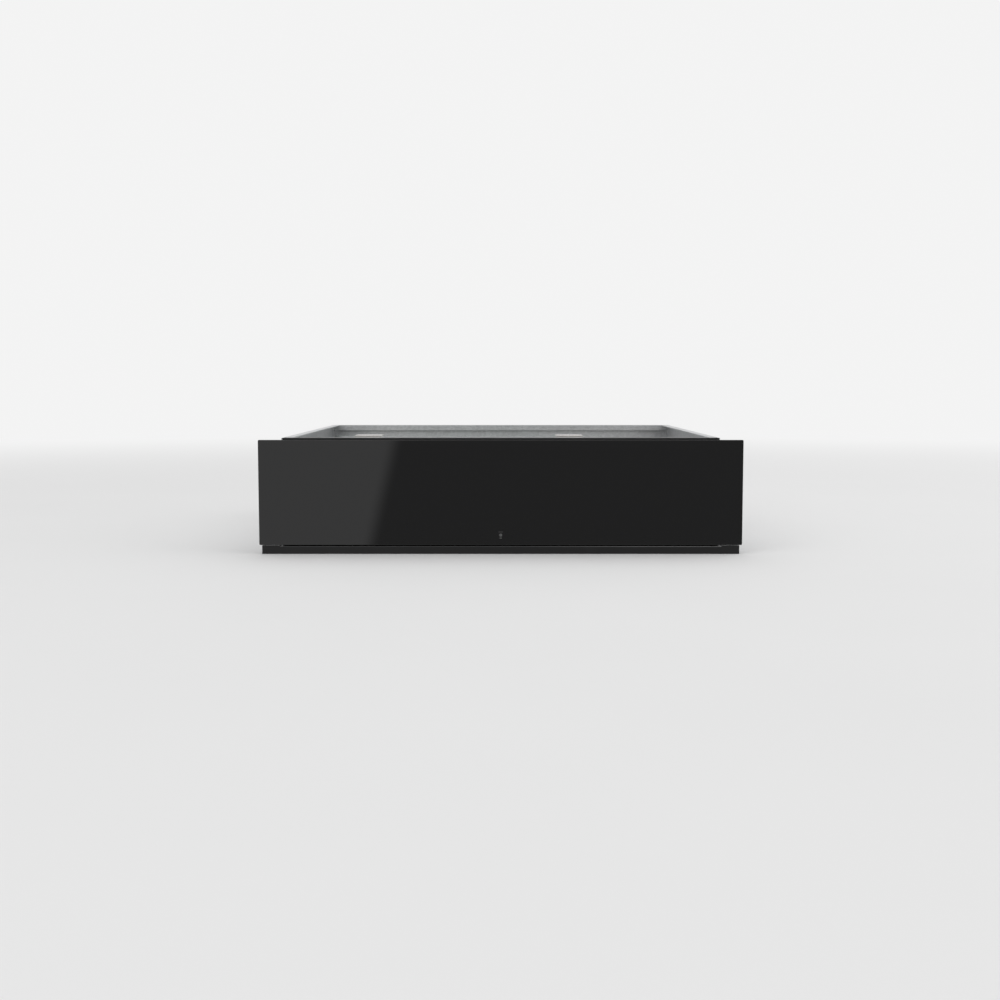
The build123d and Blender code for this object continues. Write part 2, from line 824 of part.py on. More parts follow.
# Places of the drawer's other screws, as the point under each head
deck_screw_x = tray_x - tray_return / 2
deck_screw_y = (tray_front + tray_return / 2, tray_back - tray_return / 2)
side_ys = (
    tray_front + deck_screw_inset,
    chamber_y,
    tray_back - deck_screw_rear,
    tray_back - deck_screw_inset,
)
deck_screws = [(side * deck_screw_x, y) for side in (-1, 1) for y in side_ys]
deck_screw_reach = tray_x - deck_screw_side_gap
deck_screws += [(x, y) for x in (-deck_screw_reach, 0, deck_screw_reach) for y in deck_screw_y]
fan_pitch = fan_size / 2 - fan_screw_inset
fan_screws = [(fan_x + right * fan_pitch, fan_z + up * fan_pitch) for right in (-1, 1) for up in (-1, 1)]
inlet_screw_x = inlet_width / 2 + inlet_ears / 2
inlet_screws = [(inlet_x - inlet_screw_x, inlet_z), (inlet_x + inlet_screw_x, inlet_z)]

# Boards: the power board stands in the bay beside the chamber, under the controls
power_x = (chamber_x + chamber_width / 2 + chamber_wall + tray_inner_x) / 2
power_y = chamber_y - 10
power_z = tray_floor + power_stud
power_top = power_z + board_sheet
power_screw_reach = (power_half[0] - power_screw_inset, power_half[1] - power_screw_inset)
power_screws = [
    (power_x + right * power_screw_reach[0], power_y + up * power_screw_reach[1])
    for right in (-1, 1)
    for up in (-1, 1)
]
control_x0 = lid_x1 + control_gap
control_x1 = control_x0 + control_width
control_x = (control_x0 + control_x1) / 2
control_z0 = deck_z0 - board_drop - board_sheet
control_half = (window_width / 2 + board_margin[0], window_length / 2 + board_margin[1])
control_screw_half = (control_half[0] - board_screw_inset[0], control_half[1] - board_screw_inset[1])
control_screws = [
    (control_x + right * control_screw_half[0], chamber_y + up * control_screw_half[1])
    for right in (-1, 1)
    for up in (-1, 1)
]

# Hinge places
ear_inside = hinge_barrel_width / 2 + hinge_side_clear
ear_outside = ear_inside + hinge_ear
hinge_front = hinge_y - hinge_foot_front
hinge_back_y = hinge_y + hinge_foot
hinge_plate_top = deck_top + hinge_plate
hinge_screw_y = hinge_back_y - hinge_screw_inset
hinge_shifts = (-hinge_screw_half, hinge_screw_half)
hinge_screws = [(x + shift, hinge_screw_y) for x in hinge_xs for shift in hinge_shifts]

# Drawer tray: one folded sheet with a return along its top, which carries the deck
with BuildPart() as drawer_tray:
    slab((-tray_x, tray_x), (tray_front, tray_back), (tray_z0, deck_z0))
    inside_y = (tray_front + tray_sheet, tray_back - tray_sheet)
    return_z = deck_z0 - tray_sheet
    slab((-tray_inner_x, tray_inner_x), inside_y, (tray_floor, return_z), Mode.SUBTRACT)
    open_x = tray_x - tray_return
    open_y = (tray_front + tray_return, tray_back - tray_return)
    slab((-open_x, open_x), open_y, (return_z, deck_z0), Mode.SUBTRACT)
    for x, y in power_screws:
        rod((x, y, tray_floor), (x, y, power_z), power_stud_radius)
        screw_hole((x, y, power_top), (0, 0, -1), board_sheet + power_stud - power_screw_short)
    for x, y in deck_screws:
        screw_hole((x, y, deck_top), (0, 0, -1), deck_sheet + tray_sheet)
    for x, z in tray_screws:
        screw_hole((x, tray_screw_seat, z), (0, -1, 0), tray_sheet)
    for side in (-1, 1):
        for y in runner_screw_ys:
            screw_hole((side * tray_inner_x, y, runner_z), (side, 0, 0), tray_sheet)
    for x, z in fan_screws:
        screw_hole((x, tray_back, z), (0, -1, 0), tray_sheet)
    for x, z in inlet_screws:
        screw_hole((x, tray_back, z), (0, -1, 0), tray_sheet)
    with BuildSketch(Plane.XZ.offset(-tray_back)) as tray_back_cuts:
        with Locations((fan_x, fan_z)):
            Circle(fan_bore - 1)
            Rectangle(3, fan_size, mode=Mode.SUBTRACT)
            Rectangle(fan_size, 3, mode=Mode.SUBTRACT)
        with Locations((inlet_x, inlet_z)):
            Rectangle(inlet_width + 2 * inlet_clear, inlet_height + 2 * inlet_clear)
        with Locations((side_vent_x, fan_z)):
            with GridLocations(*tray_back_vent_pitch, 16, 2):
                SlotOverall(*tray_vent_slot, rotation=90)
    extrude(amount=tray_sheet, mode=Mode.SUBTRACT)
    with BuildSketch(Plane.XY.offset(tray_z0)) as tray_floor_cuts:
        with Locations((0, tray_back - tray_floor_vent_gap)):
            with GridLocations(*tray_floor_vent_pitch, 5, 2):
                SlotOverall(*tray_vent_slot)
    extrude(amount=tray_sheet, mode=Mode.SUBTRACT)
save(drawer_tray, "drawer_tray")

# Deck plate: stainless top with the chamber's opening, the control window and board studs
with BuildPart() as deck_plate:
    deck_x = tray_x - deck_inset
    deck_y = (tray_front + deck_inset / 2, tray_back - deck_inset / 2)
    slab((-deck_x, deck_x), deck_y, (deck_z0, deck_top))
    for x, y in control_screws:
        rod((x, y, deck_z0), (x, y, deck_z0 - board_drop), stud_radius)
        screw_hole((x, y, control_z0), (0, 0, 1), board_sheet + stud_screw_depth)
    for x, y in deck_screws:
        screw_hole((x, y, deck_top), (0, 0, -1), deck_sheet)
    for x, y in hinge_screws:
        screw_hole((x, y, hinge_plate_top), (0, 0, -1), hinge_plate + deck_sheet)
    with BuildSketch(Plane.XY.offset(deck_z0)) as deck_cuts:
        with Locations((chamber_x, chamber_y)):
            chamber_outline(rim_width + soft_clear)
        with Locations((control_x, chamber_y)):
            RectangleRounded(window_width, window_length, 3)
    extrude(amount=deck_sheet, mode=Mode.SUBTRACT)
    chamfer(deck_plate.faces().sort_by(Axis.Z)[-1].outer_wire().edges(), 0.4)
save(deck_plate, "deck_plate")

# Seal bar places
bar_y0 = chamber_front + seal_bar_gap
bar_y = bar_y0 + seal_bar_width / 2
tape_top = lid_z0 - counter_height - seal_lift - seal_lift_clear
bar_top = tape_top - tape_thick
bar_z0 = bar_top - seal_bar_height
rod_reach = chamber_width / 2 - rod_inset
rod_xs = (chamber_x - rod_reach, chamber_x + rod_reach)
bar_reach = chamber_width / 2 - seal_bar_end_gap
bar_x = (chamber_x - bar_reach, chamber_x + bar_reach)

# Vacuum chamber: deep tub with a rim that holds the gasket, a flange on the deck, bushes for the
# seal bar's rods and a suction port at the back
port_x = chamber_x + chamber_width / 2 - 18
port_z = chamber_under + 14
port_end = chamber_rear + chamber_wall + 10
with BuildPart() as chamber_hollow:
    with BuildSketch(Plane.XY.offset(chamber_z0)) as cavity:
        with Locations((chamber_x, chamber_y)):
            RectangleRounded(chamber_width, chamber_length, chamber_corner)
    extrude(amount=chamber_depth)
    fillet(chamber_hollow.edges().group_by(Axis.Z)[0], chamber_floor_fillet)

with BuildPart() as vacuum_chamber:
    with BuildSketch(Plane.XY.offset(chamber_under)) as tub:
        with Locations((chamber_x, chamber_y)):
            RectangleRounded(
                chamber_width + 2 * chamber_wall,
                chamber_length + 2 * chamber_wall,
                chamber_corner + chamber_wall,
            )
    extrude(amount=flange_top - chamber_under)
    fillet(vacuum_chamber.edges().group_by(Axis.Z)[0], chamber_floor_fillet + chamber_wall)
    rounded_ring(rim_width, 0, flange_top - rim_depth, flange_top)
    rounded_ring(rim_width + flange_width, rim_lip, deck_top, flange_top)
    add(chamber_hollow.part, mode=Mode.SUBTRACT)
    with BuildSketch(Plane.XY.offset(flange_top - groove_depth)) as groove:
        with Locations((chamber_x, chamber_y)):
            for widening, cut in ((rim_lip + groove_width, Mode.ADD), (rim_lip, Mode.SUBTRACT)):
                RectangleRounded(
                    chamber_width + 2 * widening,
                    chamber_length + 2 * widening,
                    chamber_corner + widening,
                    mode=cut,
                )
    extrude(amount=groove_depth, mode=Mode.SUBTRACT)
    for x in rod_xs:
        rod((x, bar_y, chamber_under), (x, bar_y, chamber_z0 + bush_height), bush_radius)
        rod((x, bar_y, chamber_under - 1), (x, bar_y, bar_z0), rod_radius + rod_fit, Mode.SUBTRACT)
    rod((port_x, chamber_rear + chamber_wall / 2, port_z), (port_x, port_end, port_z), hose_radius)
    rod((port_x, chamber_rear - 1, port_z), (port_x, port_end, port_z), hose_bore, Mode.SUBTRACT)
save(vacuum_chamber, "vacuum_chamber")

# Gasket: a foot that fills the groove and a narrower lip that the lid closes on
gasket_foot_top = flange_top - 1
with BuildPart() as chamber_gasket:
    foot_out = rim_lip + groove_width - soft_clear
    rounded_ring(foot_out, rim_lip + soft_clear, flange_top - groove_depth, gasket_foot_top)
    lip_in = rim_lip + (groove_width - gasket_lip) / 2
    rounded_ring(lip_in + gasket_lip, lip_in, gasket_foot_top, lid_z0 - soft_clear)
    fillet(chamber_gasket.edges().group_by(Axis.Z)[-1], 0.6)
save(chamber_gasket, "chamber_gasket")

# Control glass, lying on the deck beside the lid
with BuildPart() as control_glass:
    with BuildSketch(Plane.XY.offset(deck_top)) as control_outline:
        with Locations((control_x, chamber_y)):
            RectangleRounded(control_x1 - control_x0, lid_length, control_corner)
    extrude(amount=control_glass_thick)
    chamfer(control_glass.edges().group_by(Axis.Z)[-1], 0.6)
save(control_glass, "control_glass")

# Control board: circuit board, display and touch pads that reach up to the control glass
with BuildPart() as control_board:
    board_x = (control_x - control_half[0], control_x + control_half[0])
    board_y = (chamber_y - control_half[1], chamber_y + control_half[1])
    board_top = control_z0 + board_sheet
    slab(board_x, board_y, (control_z0, board_top))
    display_x = (control_x - display_size[0] / 2, control_x + display_size[0] / 2)
    display_y = chamber_y + window_length / 2 - display_size[1] - 6
    slab(display_x, (display_y, display_y + display_size[1]), (board_top, deck_top - soft_clear))
    touch_step = (window_length - display_size[1] - 20) / touch_count
    for number in range(touch_count):
        y = chamber_y - window_length / 2 + touch_step * (number + 0.5) + 2
        for x in (control_x - touch_half_spacing, control_x + touch_half_spacing):
            rod((x, y, board_top), (x, y, deck_top - soft_clear), touch_radius)
    connector_x = (control_x - connector_size[0] / 2, control_x + connector_size[0] / 2)
    connector_y = (board_y[0] + 3, board_y[0] + 3 + connector_size[1])
    slab(connector_x, connector_y, (control_z0 - connector_size[2], control_z0))
    for x, y in control_screws:
        screw_hole((x, y, control_z0), (0, 0, 1), board_sheet)
save(control_board, "control_board")

# Power board: capacitors, finned heat sink, relays, choke and terminal block
with BuildPart() as power_board:
    left = power_x - power_half[0]
    front = power_y - power_half[1]
    slab((left, left + 2 * power_half[0]), (front, front + 2 * power_half[1]), (power_z, power_top))
    for right, up in capacitor_places:
        foot = (left + right, front + up, power_top)
        rod(foot, (foot[0], foot[1], power_top + capacitor_size[1]), capacitor_size[0])
    sink_z = (power_top, power_top + sink_height)
    slab((left + sink_x[0], left + sink_x[1]), (front + sink_y[0], front + sink_y[1]), sink_z)
    for number in range(sink_fins):
        y = front + sink_y[0] + number * sink_fin_pitch
        slab((left + sink_x[1], left + sink_x[2]), (y, y + sink_fin_width), sink_z)
    for number in range(relay_count):
        y = front + sink_y[0] + number * relay_pitch
        relay_z = (power_top, power_top + relay_size[1])
        slab((left + relay_x[0], left + relay_x[1]), (y, y + relay_size[0]), relay_z)
    x, y = left + choke_place[0], front + choke_place[1]
    rod((x, y, power_top), (x, y, power_top + choke_size[2]), choke_size[0])
    rod((x, y, power_top + 2), (x, y, power_top + choke_size[2] + 1), choke_size[1], Mode.SUBTRACT)
    block_back = front + 2 * power_half[1] - block_inset
    block_y = (block_back - block_size[0], block_back)
    block_top = power_top + block_size[1]
    slab((left + block_x[0], left + block_x[1]), block_y, (power_top, block_top))
    for number in range(block_hole_count):
        x = left + block_x[0] + block_hole_floor + number * block_hole_pitch
        hole = (x, sum(block_y) / 2, power_top + block_hole_floor)
        rod(hole, (x, sum(block_y) / 2, block_top + 1), block_hole_radius, Mode.SUBTRACT)
    for x, y in power_screws:
        screw_hole((x, y, power_top), (0, 0, -1), board_sheet)
save(power_board, "power_board")

# Power inlet on the tray's back, open to the rear, with three contact blades
inlet_floor = tray_back - inlet_depth + inlet_floor_sheet
with BuildPart() as power_inlet:
    half = (inlet_width / 2, inlet_height / 2)
    body_x = (inlet_x - half[0], inlet_x + half[0])
    slab(body_x, (tray_back - inlet_depth, tray_back), (inlet_z - half[1], inlet_z + half[1]))
    ears = half[0] + inlet_ears
    with BuildSketch(Plane.XZ.offset(-tray_back)) as inlet_face:
        with Locations((inlet_x, inlet_z)):
            RectangleRounded(2 * ears, inlet_height + 2 * inlet_flange_margin, 5)
    extrude(amount=-inlet_flange)
    with BuildSketch(Plane.XZ.offset(-inlet_floor)) as inlet_hollow:
        with Locations((inlet_x, inlet_z)):
            RectangleRounded(inlet_width - 2 * inlet_wall, inlet_height - 2 * inlet_wall, 3)
    extrude(amount=-(tray_back + inlet_flange - inlet_floor), mode=Mode.SUBTRACT)
    for x, z in inlet_screws:
        screw_hole((x, tray_back + inlet_flange, z), (0, -1, 0), inlet_flange)
save(power_inlet, "power_inlet")

with BuildPart() as inlet_blades:
    for shift, rise in blade_places:
        blade_x = (inlet_x + shift - blade_half[0], inlet_x + shift + blade_half[0])
        blade_z = (inlet_z + rise - blade_half[1], inlet_z + rise + blade_half[1])
        slab(blade_x, (inlet_floor, tray_back - 1), blade_z)
save(inlet_blades, "inlet_blades")

# Lid: thick glass plate with polished edges
with BuildPart() as lid_glass:
    with BuildSketch(Plane.XY.offset(lid_z0)) as lid_outline:
        with Locations((chamber_x, chamber_y)):
            RectangleRounded(lid_width, lid_length, lid_corner)
    extrude(amount=lid_thick)
    chamfer(lid_glass.edges().group_by(Axis.Z)[-1] + lid_glass.edges().group_by(Axis.Z)[0], lid_bevel)
save(lid_glass, "lid_glass")

# Hinge arms: a barrel on the pin and a clamp over and under the glass edge
with BuildPart() as lid_hinge_arms:
    half = hinge_barrel_width / 2
    for x in hinge_xs:
        rod((x - half, hinge_y, hinge_z), (x + half, hinge_y, hinge_z), hinge_barrel_radius)
        slab((x - half, x + half), (lid_y1, hinge_y), (lid_z0 - clamp_under, lid_z1 + clamp_sheet))
        clamp_x = (x - clamp_half_width, x + clamp_half_width)
        slab(clamp_x, (lid_y1 - clamp_reach, hinge_y), (lid_z1, lid_z1 + clamp_sheet))
        under_y = chamber_rear + rim_width + flange_width + hinge_side_clear
        slab((x - half, x + half), (under_y, lid_y1), (lid_z0 - clamp_under, lid_z0))
    top_edges = lid_hinge_arms.edges().group_by(Axis.Z)[-1]
    chamfer(top_edges, 0.5)
    for x in hinge_xs:
        bore = hinge_pin_radius + hinge_fit
        rod((x - half - 1, hinge_y, hinge_z), (x + half + 1, hinge_y, hinge_z), bore, Mode.SUBTRACT)
save(lid_hinge_arms, "lid_hinge_arms")

# Hinge brackets on the deck: a foot plate and two rounded ears
with BuildPart() as hinge_brackets:
    for x in hinge_xs:
        plate_x = (x - ear_outside, x + ear_outside)
        slab(plate_x, (hinge_front, hinge_back_y), (deck_top, hinge_plate_top))
        for side in (-1, 1):
            ear_x = (x + side * ear_inside, x + side * ear_outside)
            ear_round = hinge_barrel_radius + ear_proud
            rod((ear_x[0], hinge_y, hinge_z), (ear_x[1], hinge_y, hinge_z), ear_round)
            slab(ear_x, (hinge_front, hinge_y + ear_round), (hinge_plate_top, hinge_z))
        bore = hinge_pin_radius + hinge_fit / 2
        rod((plate_x[0], hinge_y, hinge_z), (plate_x[1], hinge_y, hinge_z), bore, Mode.SUBTRACT)
    for x, y in hinge_screws:
        screw_hole((x, y, hinge_plate_top), (0, 0, -1), hinge_plate)
save(hinge_brackets, "hinge_brackets")

with BuildPart() as hinge_pins:
    for x in hinge_xs:
        rod((x - ear_outside, hinge_y, hinge_z), (x + ear_outside, hinge_y, hinge_z), hinge_pin_radius)
    chamfer(hinge_pins.edges(), 0.4)
save(hinge_pins, "hinge_pins")

# Counter bar under the lid: a channel with a silicone strip that the seal bar presses on
with BuildPart() as counter_bar:
    bar_span = (bar_y0, bar_y0 + seal_bar_width)
    slab(bar_x, bar_span, (lid_z0 - counter_height + silicone_height - silicone_proud, lid_z0))
    strip_y = (bar_y0 + counter_sheet, bar_y0 + seal_bar_width - counter_sheet)
    slab(bar_x, strip_y, (lid_z0 - counter_height, lid_z0 - counter_sheet), Mode.SUBTRACT)
save(counter_bar, "counter_bar")

with BuildPart() as counter_silicone:
    slab(bar_x, strip_y, (lid_z0 - counter_height, lid_z0 - counter_sheet))
    strip_low = counter_silicone.edges().filter_by(Axis.X).group_by(Axis.Z)[0]
    fillet(strip_low, 1.2)
save(counter_silicone, "counter_silicone")

# Seal bar with a groove for the heating band
band_y = (bar_y - band_width / 2, bar_y + band_width / 2)
with BuildPart() as seal_bar:
    slab(bar_x, (bar_y0, bar_y0 + seal_bar_width), (bar_z0, bar_top))
    chamfer(seal_bar.edges().filter_by(Axis.Z), 2)
    chamfer(seal_bar.edges().group_by(Axis.Z)[-1], 0.6)
    slab(bar_x, band_y, (bar_top - band_thick, bar_top), Mode.SUBTRACT)
save(seal_bar, "seal_bar")

with BuildPart() as sealing_band:
    slab(bar_x, band_y, (bar_top - band_thick, bar_top))
    slab((bar_x[0] + 3, bar_x[1] - 3), strip_y, (bar_top, tape_top))
save(sealing_band, "sealing_band")

# Lift rods with their pistons, and the cylinders under the chamber that they slide in
cylinder_top = chamber_under - soft_clear
piston_z0 = tray_floor + lift_end + soft_clear
with BuildPart() as lift_rods:
    for x in rod_xs:
        rod((x, bar_y, piston_z0), (x, bar_y, bar_z0), rod_radius)
        piston_radius = lift_radius - lift_wall - soft_clear
        rod((x, bar_y, piston_z0), (x, bar_y, piston_z0 + piston_height), piston_radius)
save(lift_rods, "lift_rods")

lift_port_y = bar_y + lift_radius + lift_block_reach
with BuildPart() as lift_cylinders:
    for x in rod_xs:
        rod((x, bar_y, tray_floor), (x, bar_y, cylinder_top), lift_radius)
        slab((x - lift_block, x + lift_block), (bar_y, lift_port_y), (tray_floor, cylinder_top - 2))
        inside = lift_radius - lift_wall
        base = (x, bar_y, tray_floor + lift_end)
        rod(base, (x, bar_y, cylinder_top - lift_end), inside, Mode.SUBTRACT)
        rod(base, (x, bar_y, cylinder_top + 1), rod_radius + soft_clear, Mode.SUBTRACT)
save(lift_cylinders, "lift_cylinders")

# Pump body with cooling grooves, an eccentric bore along X and a suction stub at the front
pump_x = (pump_left + pump_right) / 2
bore_z = pump_z + pump_offset
suction_z = pump_z + suction_rise
suction_end = pump_y - motor_radius - port_reach
with BuildPart() as pump_body:
    pump_y_span = (pump_y - motor_radius, pump_y + motor_radius)
    slab((pump_left, pump_right), pump_y_span, (pump_z - motor_radius, pump_z + motor_radius))
    fillet(pump_body.edges().filter_by(Axis.X), 8)
    groove_pitch = (pump_length - 2 * pump_groove_inset) / (pump_groove_count - 1)
    groove_z = (pump_z + motor_radius - pump_groove_depth, pump_z + motor_radius)
    for number in range(pump_groove_count):
        x = pump_left + pump_groove_inset + number * groove_pitch
        groove_x = (x - pump_groove_width / 2, x + pump_groove_width / 2)
        slab(groove_x, pump_y_span, groove_z, Mode.SUBTRACT)
    rod((pump_x, pump_y_span[0], suction_z), (pump_x, suction_end, suction_z), hose_radius)
    rod((pump_left, pump_y, bore_z), (pump_right, pump_y, bore_z), pump_bore, Mode.SUBTRACT)
    suction_inner = (pump_x, pump_y - pump_bore + 2, suction_z)
    rod((pump_x, suction_end, suction_z), suction_inner, hose_bore, Mode.SUBTRACT)
save(pump_body, "pump_body")

# Pump covers: the outer one closes the bore, the inner one joins the pump to the motor
shaft_left = pump_left - cover_thick / 2
with BuildPart() as pump_covers:
    for x in (pump_left - cover_thick, pump_right):
        rod((x, pump_y, pump_z), (x + cover_thick, pump_y, pump_z), motor_radius - 1)
    cover_face = pump_left - cover_thick
    for number in range(cover_bolt_count):
        angle = 2 * math.pi * (number + 0.5) / cover_bolt_count
        bolt_y = pump_y + (motor_radius - cover_bolt_inset) * math.cos(angle)
        bolt_z = pump_z + (motor_radius - cover_bolt_inset) * math.sin(angle)
        head = (cover_face - cover_bolt_height, bolt_y, bolt_z)
        rod((cover_face, bolt_y, bolt_z), head, cover_bolt_radius)
    bore = shaft_radius + shaft_fit
    rod((shaft_left - 0.5, pump_y, pump_z), (pump_left, pump_y, pump_z), bore, Mode.SUBTRACT)
    rod((pump_right, pump_y, pump_z), (motor_left, pump_y, pump_z), bore, Mode.SUBTRACT)
save(pump_covers, "pump_covers")

# Motor shell: finned tube closed at its right end, with a foot and a terminal box
terminal_x = (motor_right - terminal_length - 6, motor_right - 6)
terminal_y = pump_y - motor_radius - 6
foot_x = (motor_right - foot_length - 10, motor_right - 10)
shell_radius = motor_radius - fin_height
with BuildPart() as motor_shell:
    rod((motor_left, pump_y, pump_z), (motor_right, pump_y, pump_z), shell_radius)
    with Locations(Plane(origin=(motor_left + 4, pump_y, pump_z), z_dir=(1, 0, 0))):
        with PolarLocations(shell_radius, fin_count):
            fin = (2 * fin_height, fin_width, motor_length - 8)
            Box(*fin, align=(Align.CENTER, Align.CENTER, Align.MIN))
    foot_z = pump_z - motor_radius
    slab(foot_x, (pump_y - foot_half, pump_y + foot_half), (foot_z, foot_z + foot_height))
    terminal_z = (pump_z + terminal_rise[0], pump_z + terminal_rise[1])
    slab(terminal_x, (terminal_y, pump_y - motor_radius + 14), terminal_z)
    inside = shell_radius - motor_wall
    shell_start = (motor_left, pump_y, pump_z)
    rod(shell_start, (motor_right - motor_end, pump_y, pump_z), inside, Mode.SUBTRACT)
    rod(shell_start, (motor_right + 1, pump_y, pump_z), shaft_radius + shaft_fit, Mode.SUBTRACT)
    with Locations(Plane(origin=(motor_right - motor_end, pump_y, pump_z), z_dir=(1, 0, 0))):
        with PolarLocations(25, 8):
            Box(14, 4, 2 * motor_end, mode=Mode.SUBTRACT)
save(motor_shell, "motor_shell")

# Stator: laminated ring with twelve slots, and a winding head at each end
stator_x0 = motor_left + stator_inset
stator_x1 = motor_right - stator_end_room
stator_length = stator_x1 - stator_x0
stator_inner = shell_radius - motor_wall - stator_ring
with BuildPart() as motor_stator:
    with BuildSketch(Plane(origin=(stator_x0, pump_y, pump_z), z_dir=(1, 0, 0))) as lamination:
        Circle(shell_radius - motor_wall)
        Circle(stator_inner, mode=Mode.SUBTRACT)
        with PolarLocations(stator_inner, stator_slots):
            Rectangle(*stator_slot_size, mode=Mode.SUBTRACT)
    extrude(amount=stator_length)
    for plane_x, reach in ((stator_x0, -winding_reach), (stator_x1, winding_reach)):
        with BuildSketch(Plane(origin=(plane_x, pump_y, pump_z), z_dir=(1, 0, 0))):
            Circle(shell_radius - motor_wall - winding_step[0])
            Circle(stator_inner + winding_step[1], mode=Mode.SUBTRACT)
        extrude(amount=reach)
save(motor_stator, "motor_stator")

# Pump and motor rotor: one shaft with the vane rotor, its four vanes and the armature
rotor_x = (pump_left + 0.5, pump_right - 0.5)
with BuildPart() as pump_rotor:
    rod((shaft_left, pump_y, pump_z), (motor_right - 1, pump_y, pump_z), shaft_radius)
    rod((rotor_x[0], pump_y, pump_z), (rotor_x[1], pump_y, pump_z), rotor_radius)
    with Locations(Plane(origin=(rotor_x[0], pump_y, pump_z), z_dir=(1, 0, 0))):
        with PolarLocations(rotor_radius - vane_depth / 2, 4):
            Box(
                vane_depth + 1,
                vane_slot,
                rotor_x[1] - rotor_x[0],
                align=(Align.CENTER, Align.CENTER, Align.MIN),
                mode=Mode.SUBTRACT,
            )
            Box(
                vane_depth - 1,
                vane_slot - 2 * vane_clear,
                rotor_x[1] - rotor_x[0],
                align=(Align.CENTER, Align.CENTER, Align.MIN),
            )
    rod((stator_x0, pump_y, pump_z), (stator_x1, pump_y, pump_z), stator_inner - air_gap)
save(pump_rotor, "pump_rotor")

# Rubber mounts between the tray and the pump's and motor's feet
with BuildPart() as pump_mounts:
    mount_xs = (pump_left + 16, pump_right - 16, sum(foot_x) / 2)
    for x in mount_xs:
        for side in (-1, 1):
            y = pump_y + side * (foot_half - mount_radius)
            rod((x, y, tray_floor), (x, y, tray_floor + mount_height), mount_radius)
    fillet(pump_mounts.edges(), 1)
save(pump_mounts, "pump_mounts")

# Exhaust filter: upright canister with a domed cap and a stub to the pump's outer cover
filter_x = pump_left - cover_thick - filter_gap - filter_radius
filter_top = tray_floor + filter_height
with BuildPart() as exhaust_filter:
    rod((filter_x, pump_y, tray_floor), (filter_x, pump_y, filter_top), filter_radius)
    fillet(exhaust_filter.edges().group_by(Axis.Z)[-1], filter_dome)
    for number in range(filter_rib_count):
        z = tray_floor + filter_rib_rise + number * filter_rib_step
        rib_top = (filter_x, pump_y, z + filter_rib_height)
        rod((filter_x, pump_y, z), rib_top, filter_radius + filter_rib_proud)
    stub_z = pump_z + filter_stub_rise
    rod((filter_x, pump_y, stub_z), (cover_face, pump_y, stub_z), filter_stub_radius)
save(exhaust_filter, "exhaust_filter")

# Solenoid valves: a manifold on the tray floor with a coil and plunger tube for each valve
manifold_front = chamber_rear + hose_radius + manifold_gap
manifold_y = (manifold_front, manifold_front + manifold_width)
manifold_mid = sum(manifold_y) / 2
manifold_x = (chamber_x - 10, chamber_x - 10 + valve_count * valve_pitch)
manifold_top = tray_floor + manifold_height
manifold_port_z = tray_floor + manifold_port_rise
lift_level = tray_floor + lift_port_rise
with BuildPart() as solenoid_valves:
    slab(manifold_x, manifold_y, (tray_floor, manifold_top))
    chamfer(solenoid_valves.edges().group_by(Axis.Z)[-1], 0.8)
    for number in range(valve_count):
        x = manifold_x[0] + (number + 0.5) * valve_pitch
        tube_top = (x, manifold_mid, manifold_top + valve_tube_height)
        rod((x, manifold_mid, manifold_top), tube_top, valve_tube_radius)
        half_x, half_y = valve_coil_half
        valve_y = (manifold_mid - half_y, manifold_mid + half_y)
        coil_low, coil_high = (manifold_top + rise for rise in valve_coil_z)
        slab((x - half_x, x + half_x), valve_y, (coil_low, coil_high))
        nut_top = (x, manifold_mid, coil_high + valve_nut[1])
        rod((x, manifold_mid, coil_high), nut_top, valve_nut[0])
    for start, reach in ((manifold_x[0], -port_reach), (manifold_x[1], port_reach)):
        port = (start, manifold_mid, manifold_port_z)
        rod(port, (start + reach, manifold_mid, manifold_port_z), hose_radius)
    lift_port_x = manifold_x[0] + valve_pitch / 2
    lift_stub_y = manifold_y[0] - lift_stub
    rod((lift_port_x, manifold_y[0], lift_level), (lift_port_x, lift_stub_y, lift_level), tube_radius)
save(solenoid_valves, "solenoid_valves")


def tube_through(points, radius, bore=0.0):
    """Round tube along straight runs, each corner an arc as large as its runs allow."""
    vectors = [Vector(*point) for point in points]
    runs = [after - before for before, after in zip(vectors, vectors[1:])]
    radii = []
    for before, after in zip(runs, runs[1:]):
        half_turn = math.radians(before.get_angle(after) / 2)
        radii.append(0.45 * min(before.length, after.length) / math.tan(half_turn))
    with BuildLine() as route:
        if radii:
            FilletPolyline(*points, radius=radii)
        else:
            Line(*points)
    with BuildPart() as tube:
        with BuildSketch(route.line ^ 0):
            Circle(radius)
            if bore:
                Circle(bore, mode=Mode.SUBTRACT)
        sweep(path=route.line)
    expected = math.pi * (radius**2 - bore**2) * sum(edge.length for edge in route.edges())
    share = round(tube.part.volume / expected, 4)
    print("tube radii", [round(value) for value in radii], "volume ratio", share)
    return tube.part


